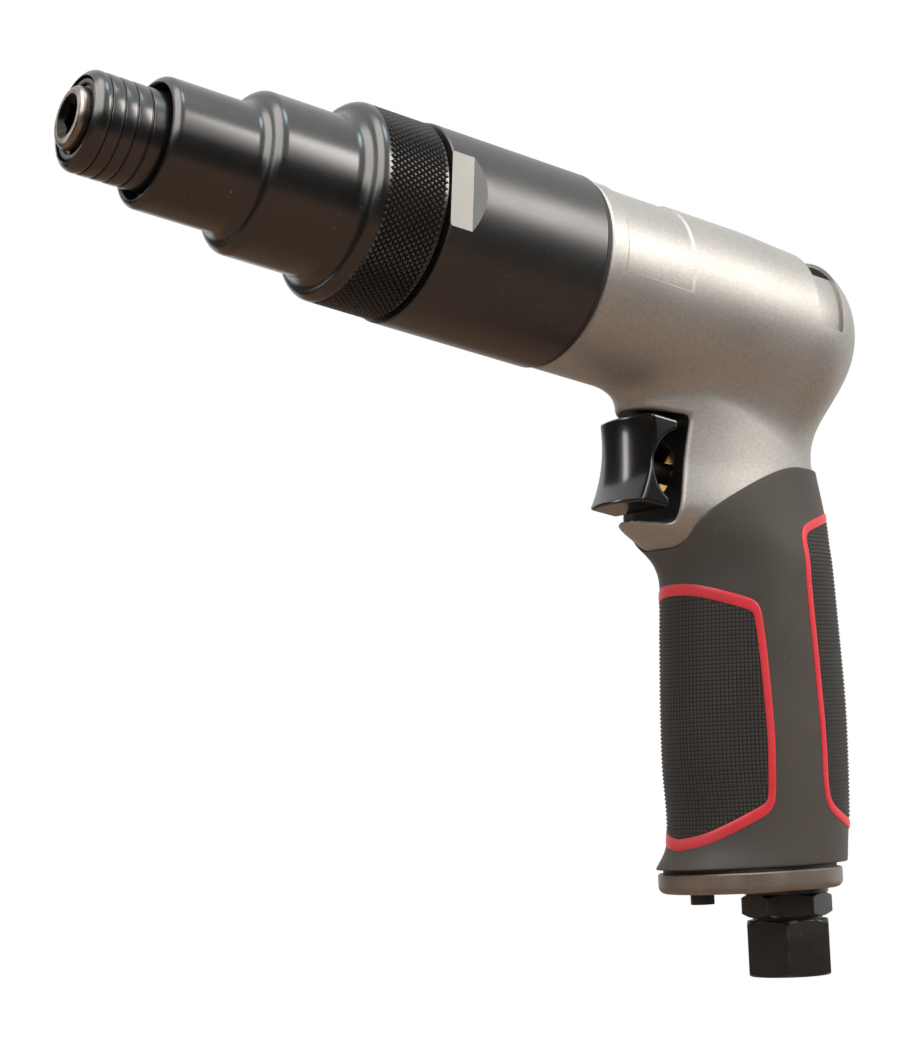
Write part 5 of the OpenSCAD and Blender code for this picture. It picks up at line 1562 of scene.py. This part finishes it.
@dataclass
class Studio:
    """Camera, lamps, pale floor, white surround and the cards that metal mirrors."""

    eye: Point3 = (0.1866, 0.4704, -0.1740)
    right: Point3 = (-0.8327, 0.5395, 0.1247)
    up: Point3 = (0.2130, 0.1041, 0.9715)
    ahead: Point3 = (-0.5111, -0.8355, 0.2016)
    lens: float = 91.3
    sensor: float = 36.0
    aim: Point3 = (-0.12, 0.0, -0.04)
    floor_z: float = -0.25
    floor_reach: float = 3.0
    floor_tone: Colour = (0.82, 0.81, 0.8)
    fade_over: Point2 = (0.35, 1.5)
    ambient: Colour = (0.3, 0.295, 0.29)
    lamps: tuple[tuple[str, Point3, Point2, Colour, float], ...] = (
        ("key_softbox", (-0.87, 0.92, 0.88), (0.6, 0.6), (1.0, 0.94, 0.88), 13.0),
        ("front_softbox", (0.65, 0.26, 0.69), (0.3, 0.8), (1.0, 0.96, 0.92), 2.5),
        ("top_softbox", (-0.15, 0.3, 1.1), (0.35, 0.35), (0.7, 0.95, 1.0), 2.5),
        ("side_strip", (0.51, -0.73, 0.16), (0.1, 0.4), (1.0, 0.98, 0.95), 0.9),
    )
    card_lift: float = 0.004
    dark: Colour = (0.05, 0.046, 0.042)
    level_cards: tuple[tuple[str, Point2, Point2, Colour], ...] = (
        ("table_card", (-1.6, -1.6), (1.2, 0.5), (0.46, 0.275, 0.175)),
        ("aisle_card", (-2.4, 0.5), (2.4, 1.2), dark),
    )
    upright_cards: tuple[tuple[str, Point2, Point2, float], ...] = (
        ("camera_card", (-2.4, 1.2), (2.4, 1.2), 0.36),
        ("front_card", (1.2, 1.2), (1.2, -0.2), 0.7),
        ("side_card", (1.2, -0.2), (0.1, -1.4), 0.45),
    )
    window: tuple[Point3, ...] = ((0.51, 1.03, 0.24), (0.11, -0.06, 1.19), (0.72, -0.44, 0.81), (1.12, 0.03, 0.24))
    window_tone: Colour = (1.0, 0.97, 0.93)
    window_glow: float = 4.5

    def stand(self, name: str, data: bpy.types.ID, spot: Point3, axes: Sequence[Sequence[float]]) -> bpy.types.Object:
        """Puts a camera or lamp at a spot, with its own axes along three directions."""
        thing = bpy.data.objects.new(name, data)
        thing.matrix_world = Matrix.Translation(spot) @ Matrix(np.array(axes).T.tolist()).to_4x4()
        bpy.context.scene.collection.objects.link(thing)
        return thing

    def camera(self) -> None:
        """Places the camera of the photograph."""
        data = bpy.data.cameras.new("camera")
        data.lens = self.lens
        data.sensor_width = self.sensor
        data.clip_start = 0.01
        axes = (self.right, self.up, [-v for v in self.ahead])
        bpy.context.scene.camera = self.stand("camera", data, self.eye, axes)

    def light(self) -> None:
        """Hangs the lamps, aimed at the tool's middle."""
        for name, spot, size, colour, power in self.lamps:
            data = bpy.data.lights.new(name, "AREA")
            data.shape = "RECTANGLE"
            data.size, data.size_y = size
            data.color = colour
            data.energy = power
            back = np.array(spot) - self.aim
            back /= np.linalg.norm(back)
            side = np.cross((0.0, 0.0, 1.0), back)
            side /= np.linalg.norm(side)
            self.stand(name, data, spot, (side, np.cross(back, side), back)).visible_camera = False

    def seen(self, bench: Bench) -> Signal:
        """1 for rays that see or mirror, 0 for those that light."""
        path = bench.make("ShaderNodeLightPath")
        kinds = ("Is Camera Ray", "Is Glossy Ray", "Is Transmission Ray")
        return sum(bench.out(path, kind) for kind in kinds).ramp(0.0, 1.0)

    def fade(self, floor: bpy.types.Object) -> None:
        """Lets the floor fade into the white surround away from the tool."""
        tree = floor.data.materials[0].node_tree
        bench = Bench(tree)
        away = bench.make("ShaderNodeVectorMath", {"operation": "LENGTH"}, {0: bench.place()})
        share = bench.out(away, "Value").ramp(*self.fade_over) * self.seen(bench)
        white = bench.make("ShaderNodeEmission", {}, {"Color": (1.0, 1.0, 1.0, 1.0)})
        both = bench.make("ShaderNodeMixShader", {}, {
            0: share, 1: bench.out(tree.nodes["Principled BSDF"]), 2: bench.out(white)})
        tree.links.new(both.outputs[0], tree.nodes["Material Output"].inputs["Surface"])

    def surround(self) -> None:
        """Sets the world: white where it is seen or mirrored, soft light elsewhere."""
        world = bpy.data.worlds.new("surround")
        world.use_nodes = True
        bpy.context.scene.world = world
        bench = Bench(world.node_tree)
        soft = world.node_tree.nodes["Background"]
        soft.inputs["Color"].default_value = (*self.ambient, 1.0)
        white = bench.make("ShaderNodeBackground", {}, {"Color": (1.0, 1.0, 1.0, 1.0)})
        both = bench.make("ShaderNodeMixShader", {}, {
            0: self.seen(bench), 1: bench.out(soft), 2: bench.out(white)})
        bench.tree.links.new(both.outputs[0], world.node_tree.nodes["World Output"].inputs["Surface"])

    def sheet(self, name: str, corners: Sequence[Point3], colour: Colour, glow: float = 0.0) -> bpy.types.Object:
        """A plain stage sheet.

        Args:
            name: its name.
            corners: its corners in metres, in order.
            colour: its colour.
            glow: strength of its own light.

        Returns:
            The sheet.
        """
        mesh = bpy.data.meshes.new(name)
        mesh.from_pydata(corners, [], [range(len(corners))])
        material = bpy.data.materials.new(name)
        material.use_nodes = True
        tone = (*colour, 1.0)
        Bench(material.node_tree).fill(material.node_tree.nodes["Principled BSDF"], {
            "Base Color": tone, "Roughness": 0.9, "Emission Color": tone, "Emission Strength": glow})
        mesh.materials.append(material)
        piece = bpy.data.objects.new(name, mesh)
        bpy.context.scene.collection.objects.link(piece)
        return piece

    def level(self, low: Point2, high: Point2, z: float) -> tuple[Point3, ...]:
        """Corners of a level rectangle between two opposite ones."""
        return ((*low, z), (high[0], low[1], z), (*high, z), (low[0], high[1], z))

    def build(self) -> None:
        """Sets up camera, lamps, surround, floor and cards."""
        bpy.context.scene.view_settings.view_transform = "Standard"
        self.camera()
        self.light()
        self.surround()
        reach, z = self.floor_reach, self.floor_z + self.card_lift
        self.fade(self.sheet("floor", self.level((-reach, -reach), (reach, reach), self.floor_z), self.floor_tone))
        cards = [self.sheet(name, self.level(low, high, z), tone) for name, low, high, tone in self.level_cards]
        for name, start, end, top in self.upright_cards:
            cards.append(self.sheet(name, ((*start, z), (*end, z), (*end, top), (*start, top)), self.dark))
        cards.append(self.sheet("window_card", self.window, self.window_tone, self.window_glow))
        for card in cards:
            card.visible_camera = card.visible_diffuse = card.visible_shadow = False


def dress_nodes(nodes: dict[str, bpy.types.Object]) -> None:
    """Gives each carried-over CAD node its finish.

    Args:
        nodes: the frame's CAD objects by name.
    """
    for finish, names in NODE_FINISHES.items():
        for name in names:
            mesh = nodes[name].data
            if mesh.materials:
                mesh.materials[0] = finish.material()
            else:
                mesh.materials.append(finish.material())
            LOG.info("%s: %s", name, finish.name)


def main() -> None:
    """Builds the scene around the frame."""
    logging.basicConfig(level=logging.INFO, format="%(name)s: %(message)s")
    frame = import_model()
    Studio().build()
    dress_nodes(frame["nodes"])
    parts = (MotorHousing, GripSleeve, GearCase, Adjuster, Chuck, Trigger, BasePlate, Fittings, Springs)
    for part in parts:
        part().build()


if __name__ == "__main__":
    main()
